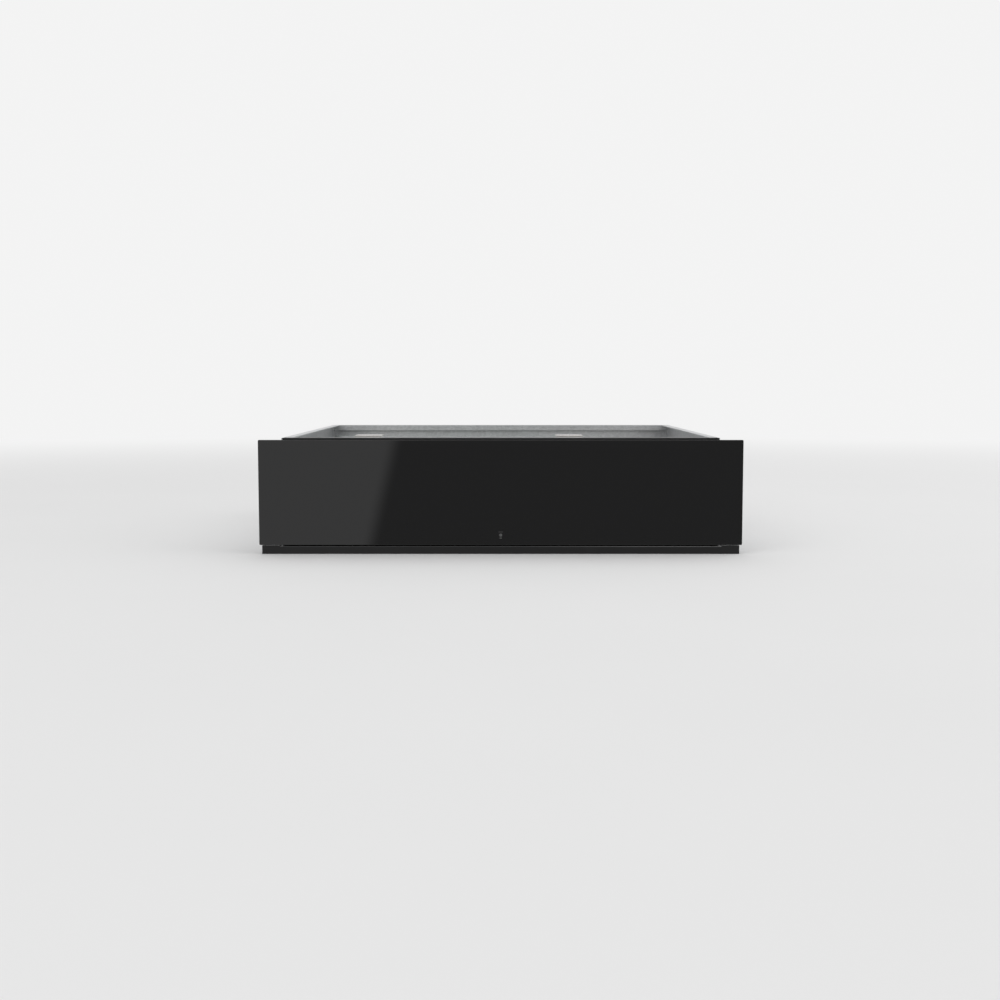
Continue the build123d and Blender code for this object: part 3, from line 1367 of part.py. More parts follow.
# Vacuum hoses: chamber to valves, valves to pump, valves to the lift cylinders, and between them
left_port = manifold_x[0] - port_reach
right_port = manifold_x[1] + port_reach
hose_routes = [
    [
        (port_x, port_end, port_z),
        (port_x, port_end + 14, port_z),
        (port_x, manifold_mid, manifold_port_z),
        (right_port, manifold_mid, manifold_port_z),
    ],
    [
        (left_port, manifold_mid, manifold_port_z),
        (left_port - 22, manifold_mid, manifold_port_z),
        (pump_x, manifold_mid - 12, suction_z),
        (pump_x, suction_end, suction_z),
    ],
]
lift_loop_y = lift_port_y + 40
tube_routes = [
    [
        (lift_port_x, lift_stub_y, lift_level),
        (lift_port_x, chamber_rear - 20, lift_level),
        (rod_xs[1] + 2, chamber_y, lift_level),
        (rod_xs[1] + 2, lift_port_y, lift_level),
    ],
    [
        (rod_xs[0] + 5, lift_port_y, lift_level),
        (rod_xs[0] + 5, lift_loop_y, lift_level),
        (chamber_x, lift_loop_y + 14, lift_level),
        (rod_xs[1] - 8, lift_loop_y, lift_level),
        (rod_xs[1] - 8, lift_port_y, lift_level),
    ],
]
hose_parts = [tube_through(points, hose_radius, hose_bore) for points in hose_routes]
hose_parts += [tube_through(points, tube_radius) for points in tube_routes]
with BuildPart() as vacuum_hoses:
    for part in hose_parts:
        add(part)
save(vacuum_hoses, "vacuum_hoses")

# Wiring: power board to control board, to motor, to inlet, and transformer to the seal bar's rod
terminal_level = sum(terminal_z) / 2
core_width = 6 * core_leg
core_height = 5 * core_leg
core_z1 = tray_floor + core_height
coil_x = (core_x - 2 * core_leg + coil_clear, core_x + 2 * core_leg - coil_clear)
cable_routes = [
    [
        (power_x - 8, block_back - 5, power_top + 14),
        (power_x - 8, block_back - 5, power_top + 44),
        (control_x, block_back - 40, power_top + 60),
        (control_x, block_back - 40, control_z0),
    ],
    [
        (power_x - 24, block_back, power_top + 8),
        (power_x - 24, block_back + 62, power_top + 8),
        (power_x - 40, block_back + 84, terminal_level),
        (core_x - 20, block_back + 84, terminal_level),
        (terminal_x[0] + 15, block_back + 90, terminal_level),
        (terminal_x[0] + 15, terminal_y, terminal_level),
    ],
    [
        (inlet_x, tray_back - inlet_depth, inlet_z),
        (inlet_x, tray_back - inlet_depth - 20, inlet_z),
        (power_x - 25, tray_back - inlet_depth - 40, inlet_z),
        (power_x + 28, pump_y - 60, power_top + 12),
        (power_x + 28, block_back + 50, power_top + 7),
        (power_x + 28, block_back, power_top + 7),
    ],
    [
        (core_x + 14, core_front - coil_proud, tray_floor + 18),
        (core_x + 14, core_front - coil_proud - 10, tray_floor + 18),
        (core_x + 28, chamber_rear + 40, tray_floor + 10),
        (core_x + 20, chamber_rear + 2, lift_level),
        (rod_xs[1] + 40, chamber_rear - 60, lift_level),
        (rod_xs[1] + 10, chamber_y - 20, lift_level),
        (rod_xs[1] + 10, lift_port_y, lift_level),
    ],
]
cable_parts = [tube_through(points, cable_radius) for points in cable_routes]
with BuildPart() as wiring:
    for part in cable_parts:
        add(part)
save(wiring, "wiring")

# Transformer for the heating band: laminated core with two windows, and a coil on its middle leg
core_y = (core_front, core_front + core_stack)
with BuildPart() as transformer_core:
    slab((core_x - core_width / 2, core_x + core_width / 2), core_y, (tray_floor, core_z1))
    for side in (-1, 1):
        window_x = (core_x + side * core_leg, core_x + side * 2 * core_leg)
        slab(window_x, core_y, (tray_floor + core_leg, core_z1 - core_leg), Mode.SUBTRACT)
save(transformer_core, "transformer_core")

with BuildPart() as transformer_coil:
    coil_y = (core_front - coil_proud, core_y[1] + coil_proud)
    coil_z = (tray_floor + core_leg + coil_clear, core_z1 - core_leg - coil_clear)
    slab(coil_x, coil_y, coil_z)
    fillet(transformer_coil.edges().filter_by(Axis.Z), 5)
    leg_x = (core_x - core_leg - coil_clear, core_x + core_leg + coil_clear)
    leg_y = (core_y[0] - coil_clear, core_y[1] + coil_clear)
    slab(leg_x, leg_y, coil_z, Mode.SUBTRACT)
save(transformer_coil, "transformer_coil")

# Fan: square frame with a round duct, and a hub held by three struts
fan_y = (tray_back - tray_sheet - fan_thick, tray_back - tray_sheet)
fan_plane = Plane(origin=(fan_x, fan_y[0], fan_z), z_dir=(0, 1, 0))
hub_back = fan_y[0] + fan_hub_thick
with BuildPart() as fan_frame:
    half = fan_size / 2
    slab((fan_x - half, fan_x + half), fan_y, (fan_z - half, fan_z + half))
    fillet(fan_frame.edges().filter_by(Axis.Y), 4)
    rod((fan_x, fan_y[0], fan_z), (fan_x, fan_y[1], fan_z), fan_bore, Mode.SUBTRACT)
    rod((fan_x, fan_y[0], fan_z), (fan_x, hub_back, fan_z), fan_hub)
    with Locations(fan_plane):
        with PolarLocations((fan_hub + fan_bore) / 2, fan_struts):
            strut = (fan_bore - fan_hub + 1, fan_strut_width, fan_hub_thick)
            Box(*strut, align=(Align.CENTER, Align.CENTER, Align.MIN))
    bore = fan_pin_radius + shaft_fit
    rod((fan_x, fan_y[0], fan_z), (fan_x, hub_back, fan_z), bore, Mode.SUBTRACT)
    for x, z in fan_screws:
        screw_hole((x, tray_back, z), (0, -1, 0), tray_sheet + fan_thick)
save(fan_frame, "fan_frame")

with BuildPart() as fan_impeller:
    blade_y = hub_back + fan_clear
    blade_depth = fan_thick - fan_hub_thick - 2 * fan_clear
    rod((fan_x, blade_y, fan_z), (fan_x, blade_y + blade_depth, fan_z), fan_hub)
    rod((fan_x, fan_y[0] + 0.5, fan_z), (fan_x, blade_y, fan_z), fan_pin_radius)
    blade_length = fan_bore - fan_clear - fan_hub
    with Locations(Plane(origin=(fan_x, blade_y + blade_depth / 2, fan_z), z_dir=(0, 1, 0))):
        with PolarLocations(fan_hub + blade_length / 2 - 0.5, fan_blades):
            Box(blade_length, blade_depth * 0.95, fan_blade_sheet, rotation=(fan_blade_tilt, 0, 0))
save(fan_impeller, "fan_impeller")

# Drawer screws
with BuildPart() as drawer_screws:
    for x, y in deck_screws:
        screw((x, y, deck_top), (0, 0, -1), deck_sheet + tray_sheet)
    for x, y in hinge_screws:
        screw((x, y, hinge_plate_top), (0, 0, -1), hinge_plate + deck_sheet)
    for x, y in control_screws:
        screw((x, y, control_z0), (0, 0, 1), board_sheet + stud_screw_depth)
    for x, y in power_screws:
        screw((x, y, power_top), (0, 0, -1), board_sheet + power_stud - power_screw_short)
    for x, z in frame_screws:
        screw((x, frame_screw_seat, z), (0, -1, 0), bracket_sheet + frame_sheet)
    for x, z in tray_screws:
        screw((x, tray_screw_seat, z), (0, -1, 0), tray_screw_length)
    for x, z in fan_screws:
        screw((x, tray_back, z), (0, -1, 0), tray_sheet + fan_thick - 2)
    for x, z in inlet_screws:
        screw((x, tray_back + inlet_flange, z), (0, -1, 0), inlet_flange + tray_sheet)
    for side in (-1, 1):
        for y in runner_screw_ys:
            screw((side * tray_inner_x, y, runner_z), (side, 0, 0), tray_sheet + runner_sheet)
save(drawer_screws, "drawer_screws")
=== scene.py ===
import json
import logging
import math
from collections.abc import Callable, Iterator, Mapping, Sequence
from contextlib import contextmanager
from dataclasses import dataclass, field, replace
from enum import Enum, IntEnum
from functools import cached_property
from typing import TypeVar

import bmesh
import bpy
from mathutils import Matrix, Vector


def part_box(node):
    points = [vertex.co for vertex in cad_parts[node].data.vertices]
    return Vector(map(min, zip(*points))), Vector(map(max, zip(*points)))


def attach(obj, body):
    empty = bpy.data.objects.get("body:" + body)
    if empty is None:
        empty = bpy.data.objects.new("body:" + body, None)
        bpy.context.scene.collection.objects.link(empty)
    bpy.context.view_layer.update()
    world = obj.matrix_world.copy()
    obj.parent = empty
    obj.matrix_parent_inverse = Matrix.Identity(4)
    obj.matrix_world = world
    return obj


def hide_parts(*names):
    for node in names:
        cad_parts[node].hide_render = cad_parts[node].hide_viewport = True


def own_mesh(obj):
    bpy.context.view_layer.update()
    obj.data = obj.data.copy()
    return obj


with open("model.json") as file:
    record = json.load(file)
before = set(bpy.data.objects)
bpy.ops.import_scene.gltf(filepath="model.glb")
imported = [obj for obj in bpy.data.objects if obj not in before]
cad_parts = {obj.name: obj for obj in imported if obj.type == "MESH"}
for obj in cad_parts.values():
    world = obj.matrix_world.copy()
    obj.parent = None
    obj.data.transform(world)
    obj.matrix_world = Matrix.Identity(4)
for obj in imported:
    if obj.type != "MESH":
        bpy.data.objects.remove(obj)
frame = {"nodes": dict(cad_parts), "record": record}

# Looks of a built-in vacuum sealing drawer. Metres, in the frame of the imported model: +X to the
# right seen from the front, +Y to the back, +Z up, with the glass front facing -Y.

log = logging.getLogger("vacuum_drawer")
MM = 0.001
NEAR = 1e-6
FULL_TURN = 2 * math.pi
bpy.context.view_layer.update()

Colour = tuple[float, float, float]
Point = tuple[float, float, float]
Span = tuple[float, float]
Place = Sequence[float]
Piece = bpy.types.Object
Node = bpy.types.Node
Socket = bpy.types.NodeSocket
Sockets = bpy.types.NodeOutputs
Thing = TypeVar("Thing")

WHITE: Colour = (1.0, 1.0, 1.0)
EVEN: Point = (1.0, 1.0, 1.0)
ORIGIN: Point = (0.0, 0.0, 0.0)


class Axis(IntEnum):
    """The frame's axes, numbered as in a vector."""

    X = 0
    Y = 1
    Z = 2


class Grain(Enum):
    """Direction in which a surface was brushed, rolled or wound."""

    ALONG_X = (0.02, 1.0, 1.0)
    ALONG_Y = (1.0, 0.02, 1.0)
    ALONG_Z = (1.0, 1.0, 0.02)
    NONE = EVEN


def adjust(thing: Thing, **settings: object) -> Thing:
    """Sets properties of anything in the scene.

    Args:
        thing: The node, modifier, object or data block.
        **settings: Values by property name.

    Returns:
        The same thing.
    """
    for key, value in settings.items():
        setattr(thing, key, value)
    return thing


def shaded(colour: Colour, factor: float, lift: float = 0.0) -> Colour:
    """Returns a colour times a factor, plus a lift, and no brighter than white."""
    return tuple(min(1.0, part * factor + lift) for part in colour)


class Graph:
    """Shader nodes of one material or of the world, added and joined in a few words."""

    # Places of a colour mix's factor and two colours among its inputs, and of its colour output.
    MIX_INPUTS = (0, 6, 7)
    MIX_OUTPUT = 2
    NOISE_ROUGHNESS = 0.55

    def __init__(self, owner: bpy.types.ID) -> None:
        """Empties the owner's nodes and gives it one shader.

        Args:
            owner: A material, or a world, whose coordinates are the way that a ray goes.
        """
        world = isinstance(owner, bpy.types.World)
        owner.use_nodes = True
        self.owner = owner
        self.tree = owner.node_tree
        self.tree.nodes.clear()
        self.shader = self.add("ShaderNodeBackground" if world else "ShaderNodeBsdfPrincipled")
        self.output = self.add("ShaderNodeOutputWorld" if world else "ShaderNodeOutputMaterial")
        self.coordinates = self.add("ShaderNodeTexCoord").outputs["Generated" if world else "Object"]
        self.feed(self.output, Surface=self.shader.outputs[0])

    def add(self, kind: str, **settings: object) -> Node:
        """Adds a node of a type that Blender names so, with some properties set, and returns it."""
        return adjust(self.tree.nodes.new(kind), **settings)

    def put(self, socket: Socket, value: object) -> None:
        """Links a socket to an input, or sets a plain value on it.

        Args:
            socket: The input.
            value: Socket, number, vector or colour without its alpha.
        """
        if isinstance(value, Socket):
            self.tree.links.new(value, socket)
        else:
            socket.default_value = (*value, 1.0) if socket.type == "RGBA" else value

    def feed(self, node: Node, *values: object, **inputs: object) -> Sockets:
        """Links or sets a node's inputs.

        Args:
            node: The node.
            *values: Sockets or values for its first inputs, in their order.
            **inputs: Sockets or values by input name, with _ for a space.

        Returns:
            The node's outputs.
        """
        for socket, value in zip(node.inputs, values):
            self.put(socket, value)
        for name, value in inputs.items():
            self.put(node.inputs[name.replace("_", " ")], value)
        return node.outputs

    def set(self, **inputs: object) -> None:
        """Links or sets inputs of the graph's shader, named as in feed."""
        self.feed(self.shader, **inputs)

    def show(self, factor: Socket, first: Socket, second: Socket) -> None:
        """Makes a mix of two shaders the surface that is seen."""
        mixed = self.feed(self.add("ShaderNodeMixShader"), factor, first, second)
        self.feed(self.output, Surface=mixed[0])

    def glow(self, strength: float) -> Socket:
        """Returns a shader that shines white."""
        return self.feed(self.add("ShaderNodeEmission"), Color=WHITE, Strength=strength)[0]

    def mapped(self, stretch: Point) -> Socket:
        """Returns the coordinates, each axis times its factor."""
        node = self.add("ShaderNodeMapping", vector_type="POINT")
        return self.feed(node, Vector=self.coordinates, Scale=stretch)["Vector"]

    def noise(self, scale: float, detail: float = 3.0, stretch: Point = EVEN) -> Socket:
        """Returns noise from 0 to 1, with so many features a metre and so many octaves."""
        inputs = {"Scale": scale, "Detail": detail, "Roughness": self.NOISE_ROUGHNESS}
        return self.feed(self.add("ShaderNodeTexNoise"), Vector=self.mapped(stretch), **inputs)["Fac"]

    def cells(self, scale: float, feature: str = "F1", stretch: Point = EVEN) -> Sockets:
        """Returns the outputs of Voronoi cells, so many a metre."""
        node = self.add("ShaderNodeTexVoronoi", feature=feature)
        return self.feed(node, Vector=self.mapped(stretch), Scale=scale)

    def axis(self, axis: Axis) -> Socket:
        """Returns one coordinate of the point, in metres."""
        return self.feed(self.add("ShaderNodeSeparateXYZ"), Vector=self.coordinates)[axis]

    def maths(self, operation: str, *values: object) -> Socket:
        """Returns a sum on up to three numbers or sockets."""
        return self.feed(self.add("ShaderNodeMath", operation=operation), *values)[0]

    def times(self, first: object, second: object) -> Socket:
        """Returns the product of two numbers or sockets."""
        return self.maths("MULTIPLY", first, second)

    def waves(self, axis: Axis, pitch: float) -> Socket:
        """Returns waves from -1 to 1 along an axis, a pitch apart."""
        return self.maths("SINE", self.times(self.axis(axis), FULL_TURN / pitch))

    def between(self, value: Socket, low: object, high: object) -> Socket:
        """Returns a value from 0 to 1 mapped onto low to high."""
        return self.feed(self.add("ShaderNodeMapRange"), Value=value, To_Min=low, To_Max=high)["Result"]

    def step(self, value: Socket, start: float, end: float) -> Socket:
        """Returns a smooth step that is 0 where the value is start and 1 where it is end."""
        node = self.add("ShaderNodeMapRange", interpolation_type="SMOOTHSTEP")
        return self.feed(node, Value=value, From_Min=start, From_Max=end)["Result"]

    def bump(self, height: Socket, strength: float, distance: float) -> None:
        """Gives the surface a relief from 0 to 1, which rises by a distance in metres."""
        relief = self.feed(self.add("ShaderNodeBump"), Height=height, Strength=strength, Distance=distance)
        self.set(Normal=relief["Normal"])

    def blend(self, factor: object, first: object, second: object) -> Socket:
        """Mixes two colours.

        Args:
            factor: Socket or number from 0 to 1.
            first: Colour or socket at 0.
            second: Colour or socket at 1.

        Returns:
            The colour socket.
        """
        node = self.add("ShaderNodeMix", data_type="RGBA")
        for place, value in zip(self.MIX_INPUTS, (factor, first, second)):
            self.put(node.inputs[place], value)
        return node.outputs[self.MIX_OUTPUT]


@dataclass(frozen=True)
class Finish:
    """A surface finish that a piece or a node of the model can wear."""

    name: str
    colour: Colour
    roughness: float = 0.4

    @cached_property
    def graph(self) -> Graph:
        """The shader nodes of the finish's own material."""
        return Graph(bpy.data.materials.new("finish_" + self.name))

    @cached_property
    def material(self) -> bpy.types.Material:
        """The finish's material, painted when it is first asked for."""
        self.paint()
        return self.graph.owner

    def paint(self) -> None:
        """Adds the finish's own nodes to its graph."""
        raise NotImplementedError

    def rough(self, mask: Socket, low: float, high: float) -> None:
        """Lets the roughness go from low to high of its own value, as a mask goes from 0 to 1."""
        spread = self.graph.between(mask, self.roughness + low, self.roughness + high)
        self.graph.set(Roughness=spread)


@dataclass(frozen=True)
class GlossGlass(Finish):
    """Glass enamelled on its back, so that its face is a dark mirror with the faintest wipe marks."""

    roughness: float = 0.02

    def paint(self) -> None:
        """Adds the dark mirror with its wipe marks."""
        graph = self.graph
        dusty = graph.blend(graph.noise(900.0, 2.0), self.colour, shaded(self.colour, 1.35))
        graph.set(Base_Color=dusty, IOR=1.5)
        self.rough(graph.step(graph.noise(9.0, 4.0, (1.0, 1.0, 0.35)), 0.52, 0.72), 0.0, 0.012)
        graph.bump(graph.noise(3.0, 1.0), 0.2, 0.02 * MM)


@dataclass(frozen=True)
class ClearGlass(Finish):
    """Clear float glass with a green cast in its depth."""

    roughness: float = 0.01

    def paint(self) -> None:
        """Adds clear glass, a little duller where it was wiped."""
        graph = self.graph
        graph.set(Base_Color=self.colour, Transmission_Weight=1.0, IOR=1.5)
        self.rough(graph.step(graph.noise(11.0, 4.0, (0.4, 1.0, 1.0)), 0.5, 0.75), 0.0, 0.02)


@dataclass(frozen=True)
class GlassEdge(Finish):
    """Polished edge of float glass, green with the light that it has gathered."""

    roughness: float = 0.08
    glow: Colour = (0.15, 0.30, 0.24)

    def paint(self) -> None:
        """Adds a slick edge with pale and deep streaks."""
        graph = self.graph
        streak = graph.step(graph.noise(9.0, 3.0, (1.0, 1.0, 40.0)), 0.3, 0.7)
        graph.set(Base_Color=graph.blend(streak, self.colour, self.glow), IOR=1.5)
        self.rough(graph.noise(400.0, 2.0), 0.0, 0.08)


@dataclass(frozen=True)
class Galvanised(Finish):
    """Zinc coated sheet with its frosted crystals."""

    roughness: float = 0.33
    spangle: float = 3.8 * MM

    def paint(self) -> None:
        """Adds crystals that differ in tone and sheen, under soot."""
        graph = self.graph
        crystal = graph.cells(1 / self.spangle)
        tone = graph.feed(graph.add("ShaderNodeSeparateColor"), Color=crystal["Color"])
        dark = shaded(self.colour, 0.88)
        sheet = graph.blend(tone["Red"], dark, shaded(self.colour, 1.06))
        soot = graph.between(graph.noise(14.0, 4.0), 0.0, 0.35)
        graph.set(Base_Color=graph.blend(soot, sheet, dark), Metallic=1.0)
        self.rough(tone["Green"], 0.0, 0.09)
        graph.bump(crystal["Distance"], 0.25, 0.12 * MM)


@dataclass(frozen=True)
class BrushedMetal(Finish):
    """Metal ground along one direction."""

    roughness: float = 0.28
    grain: Grain = Grain.ALONG_X
    depth: float = 0.01 * MM

    def paint(self) -> None:
        """Adds fine lines along the grain over soft handling marks."""
        graph = self.graph
        lines = graph.noise(2600.0, 2.0, self.grain.value)
        streaks = graph.noise(420.0, 3.0, self.grain.value)
        touched = graph.step(graph.noise(16.0, 4.0), 0.48, 0.70)
        graph.set(Base_Color=graph.blend(streaks, shaded(self.colour, 0.86), self.colour), Metallic=1.0)
        ground = graph.between(lines, self.roughness - 0.07, self.roughness + 0.07)
        graph.set(Roughness=graph.maths("MULTIPLY_ADD", touched, 0.05, ground))
        graph.bump(lines, 0.5, self.depth)


@dataclass(frozen=True)
class PlatedMetal(Finish):
    """Zinc or nickel plated metal, even, with light rubs."""

    roughness: float = 0.22
    tint: Colour = (0.80, 0.78, 0.66)

    def paint(self) -> None:
        """Adds an even plating with a warm cast in patches."""
        graph = self.graph
        cast = graph.between(graph.noise(60.0), 0.0, 0.4)
        graph.set(Base_Color=graph.blend(cast, self.colour, self.tint), Metallic=1.0)
        self.rough(graph.noise(1500.0, 3.0, (1.0, 0.1, 1.0)), -0.06, 0.06)
        graph.bump(graph.noise(700.0, 2.0), 0.15, 0.04 * MM)


@dataclass(frozen=True)
class PaintedMetal(Finish):
    """Powder coat with its fine orange peel."""

    roughness: float = 0.38
    peel: float = 1.2 * MM
    worn: Colour = (0.10, 0.10, 0.10)
    specular: float = 0.5

    def paint(self) -> None:
        """Adds the coat's peel and a slight fading in patches."""
        graph = self.graph
        peel = graph.noise(1 / self.peel, 2.0)
        fade = graph.times(graph.step(graph.noise(22.0, 4.0), 0.55, 0.80), 0.25)
        graph.set(Base_Color=graph.blend(fade, self.colour, self.worn))
        graph.set(IOR=1.5, Specular_IOR_Level=self.specular)
        self.rough(peel, -0.05, 0.05)
        graph.bump(peel, 0.35, 0.06 * MM)


@dataclass(frozen=True)
class PaintedEdgeGlint(PaintedMetal):
    """Powder coat with a painted highlight along its upper front edge, brighter towards its right."""

    node: str = "lower_trim"
    edge_glint: Colour = (0.055, 0.055, 0.055)
    right_glint: Colour = (0.16, 0.16, 0.16)
    glint_span: Span = (-0.05, 0.22)
    width: float = 0.8 * MM
    # Shares of the width between which the painted highlight sets in, down from the edge and back from the
    # face.
    upper_share: Span = (1.0, 0.3)
    front_share: Span = (1.2, 0.6)

    def paint(self) -> None:
        """Adds the coat, with a painted highlight and a slicker surface along the node's upper front edge.
        """
        super().paint()
        graph, inputs = self.graph, self.graph.shader.inputs
        paint, dull = (inputs[name].links[0].from_socket for name in ("Base Color", "Roughness"))
        low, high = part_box(self.node)
        upper = graph.step(graph.axis(Axis.Z), *(high.z - share * self.width for share in self.upper_share))
        front = graph.step(graph.axis(Axis.Y), *(low.y + share * self.width for share in self.front_share))
        edge = graph.times(upper, front)
        # Painted highlight: the edge is lighter, and lighter still towards the right, where a glint of
        # light falls.
        pale = graph.blend(graph.step(graph.axis(Axis.X), *self.glint_span), self.edge_glint, self.right_glint)
        graph.set(Base_Color=graph.blend(edge, paint, pale))
        graph.set(Roughness=graph.maths("MULTIPLY_ADD", edge, -0.2, dull))


@dataclass(frozen=True)
class MouldedPlastic(Finish):
    """Injection moulded plastic with a spark eroded texture."""

    roughness: float = 0.48
    texture: float = 0.6 * MM
    specular: float = 0.5

    def paint(self) -> None:
        """Adds the moulded texture and faint flow marks."""
        graph = self.graph
        flow = graph.noise(30.0, 3.0, (0.3, 1.0, 1.0))
        graph.set(Base_Color=graph.blend(flow, self.colour, shaded(self.colour, 1.25, 0.004)))
        graph.set(IOR=1.48, Specular_IOR_Level=self.specular)
        self.rough(flow, -0.05, 0.05)
        graph.bump(graph.cells(1 / self.texture, "SMOOTH_F1")["Distance"], 0.3, 0.05 * MM)


@dataclass(frozen=True)
class Elastomer(Finish):
    """Rubber or silicone, with talc in its pores."""

    roughness: float = 0.68
    bloom: float = 0.12

    def paint(self) -> None:
        """Adds a soft surface with a dusty bloom."""
        graph = self.graph
        dusty = graph.step(graph.noise(45.0, 5.0), 0.45, 0.85)
        pale = shaded(self.colour, 1 - self.bloom, self.bloom)
        graph.set(Base_Color=graph.blend(graph.times(dusty, 0.5), self.colour, pale))
        graph.set(IOR=1.42, Sheen_Weight=0.08, Sheen_Roughness=0.5)
        self.rough(dusty, -0.08, 0.12)
        graph.bump(graph.noise(1900.0), 0.3, 0.04 * MM)


@dataclass(frozen=True)
class CastMetal(Finish):
    """Sand or die cast metal, blasted after casting."""

    roughness: float = 0.52
    grit: float = 0.9 * MM

    def paint(self) -> None:
        """Adds the blasted grit over broad casting tone."""
        graph = self.graph
        grit = graph.noise(1 / self.grit, 4.0)
        tone = graph.blend(graph.noise(38.0, 4.0), shaded(self.colour, 0.72), self.colour)
        graph.set(Base_Color=tone, Metallic=1.0)
        self.rough(grit, -0.1, 0.12)
        graph.bump(grit, 0.6, 0.12 * MM)


@dataclass(frozen=True)
class Layered(Finish):
    """Stacked sheets, wound wire or wound tape: fine ridges along one axis."""

    second: Colour = (0.1, 0.1, 0.1)
    across: Axis = Axis.Y
    pitch: float = 0.5 * MM
    metallic: float = 0.0
    depth: float = 0.12 * MM

    def paint(self) -> None:
        """Adds a ridge for each layer, in two tones, with the darker one painted into the grooves as shade.
        """
        graph = self.graph
        ridge = graph.between(graph.waves(self.across, self.pitch), 0.0, 1.0)
        drift = graph.noise(70.0)
        painted_groove_shade = graph.times(ridge, graph.between(drift, 0.5, 1.0))
        # Painted shade: the grooves between layers take the darker second tone.
        graph.set(Base_Color=graph.blend(painted_groove_shade, self.second, self.colour), Metallic=self.metallic)
        self.rough(drift, -0.08, 0.1)
        graph.bump(ridge, 0.7, self.depth)


@dataclass(frozen=True)
class CircuitBoard(Finish):
    """Solder mask over copper tracks, with bright pads; parts above the board are dark."""

    roughness: float = 0.35
    copper: Colour = (0.06, 0.25, 0.10)
    pads: Colour = (0.62, 0.60, 0.55)
    parts: Colour = (0.035, 0.035, 0.04)
    board_top: float = 19.8 * MM
    flat: Point = (1.0, 1.0, 0.0)

    def paint(self) -> None:
        """Adds tracks and pads on the board, and dark housings above it."""
        graph = self.graph
        brick = graph.add("ShaderNodeTexBrick", offset=0.35, squash=0.6, squash_frequency=3)
        tones = {"Color1": self.colour, "Color2": self.colour, "Mortar": self.copper}
        tracks = graph.feed(brick, Vector=graph.mapped(self.flat), Scale=90.0, Mortar_Size=0.05, **tones)
        pad = graph.maths("LESS_THAN", graph.cells(260.0, stretch=self.flat)["Distance"], 0.16)
        board = graph.blend(pad, tracks["Color"], self.pads)
        above = graph.step(graph.axis(Axis.Z), self.board_top, self.board_top + 0.6 * MM)
        graph.set(Base_Color=graph.blend(above, board, self.parts), Roughness=self.roughness, IOR=1.5)
        graph.set(Metallic=graph.times(pad, graph.maths("SUBTRACT", 1.0, above)))
        graph.bump(tracks["Fac"], 0.4, 0.08 * MM)


@dataclass(frozen=True)
class CoatedWeave(Finish):
    """Release tape: a fine woven cloth filled with a slick coat."""

    roughness: float = 0.42
    thread: float = 0.8 * MM

    def paint(self) -> None:
        """Adds the weave's crossing threads under the coat."""
        graph = self.graph
        warp, weft = (graph.waves(axis, self.thread) for axis in (Axis.X, Axis.Y))
        weave = graph.between(graph.times(warp, weft), 0.2, 0.8)
        dark = shaded(self.colour, 0.7)
        toast = graph.times(graph.step(graph.noise(80.0, 3.0, (0.2, 1.0, 1.0)), 0.5, 0.8), 0.4)
        graph.set(Base_Color=graph.blend(toast, graph.blend(weave, dark, self.colour), dark), IOR=1.38)
        self.rough(weave, -0.06, 0.1)
        graph.bump(weave, 0.4, 0.06 * MM)


@dataclass(frozen=True)
class HoseWall(Finish):
    """Milky silicone tube."""

    roughness: float = 0.3
    scatter: Point = (4.0 * MM, 4.0 * MM, 4.0 * MM)

    def paint(self) -> None:
        """Adds a translucent wall with faint clouds."""
        graph = self.graph
        cloud = graph.noise(120.0)
        graph.set(Base_Color=graph.blend(cloud, shaded(self.colour, 0.85), self.colour), IOR=1.41)
        graph.set(Transmission_Weight=0.35, Subsurface_Weight=0.2, Subsurface_Radius=self.scatter)
        self.rough(cloud, -0.06, 0.1)


@dataclass(frozen=True)
class PrintedInk(Finish):
    """Ceramic ink printed on glass."""

    def paint(self) -> None:
        """Adds ink of slightly uneven cover."""
        graph = self.graph
        cover = graph.noise(2500.0)
        graph.set(Base_Color=graph.blend(cover, shaded(self.colour, 0.8), self.colour), IOR=1.5)
        self.rough(cover, -0.05, 0.1)


TRIM_BLACK: Colour = (0.004, 0.004, 0.0042)
TRIM_WORN: Colour = (0.02, 0.02, 0.02)
TRIM_SPECULAR = 0.30

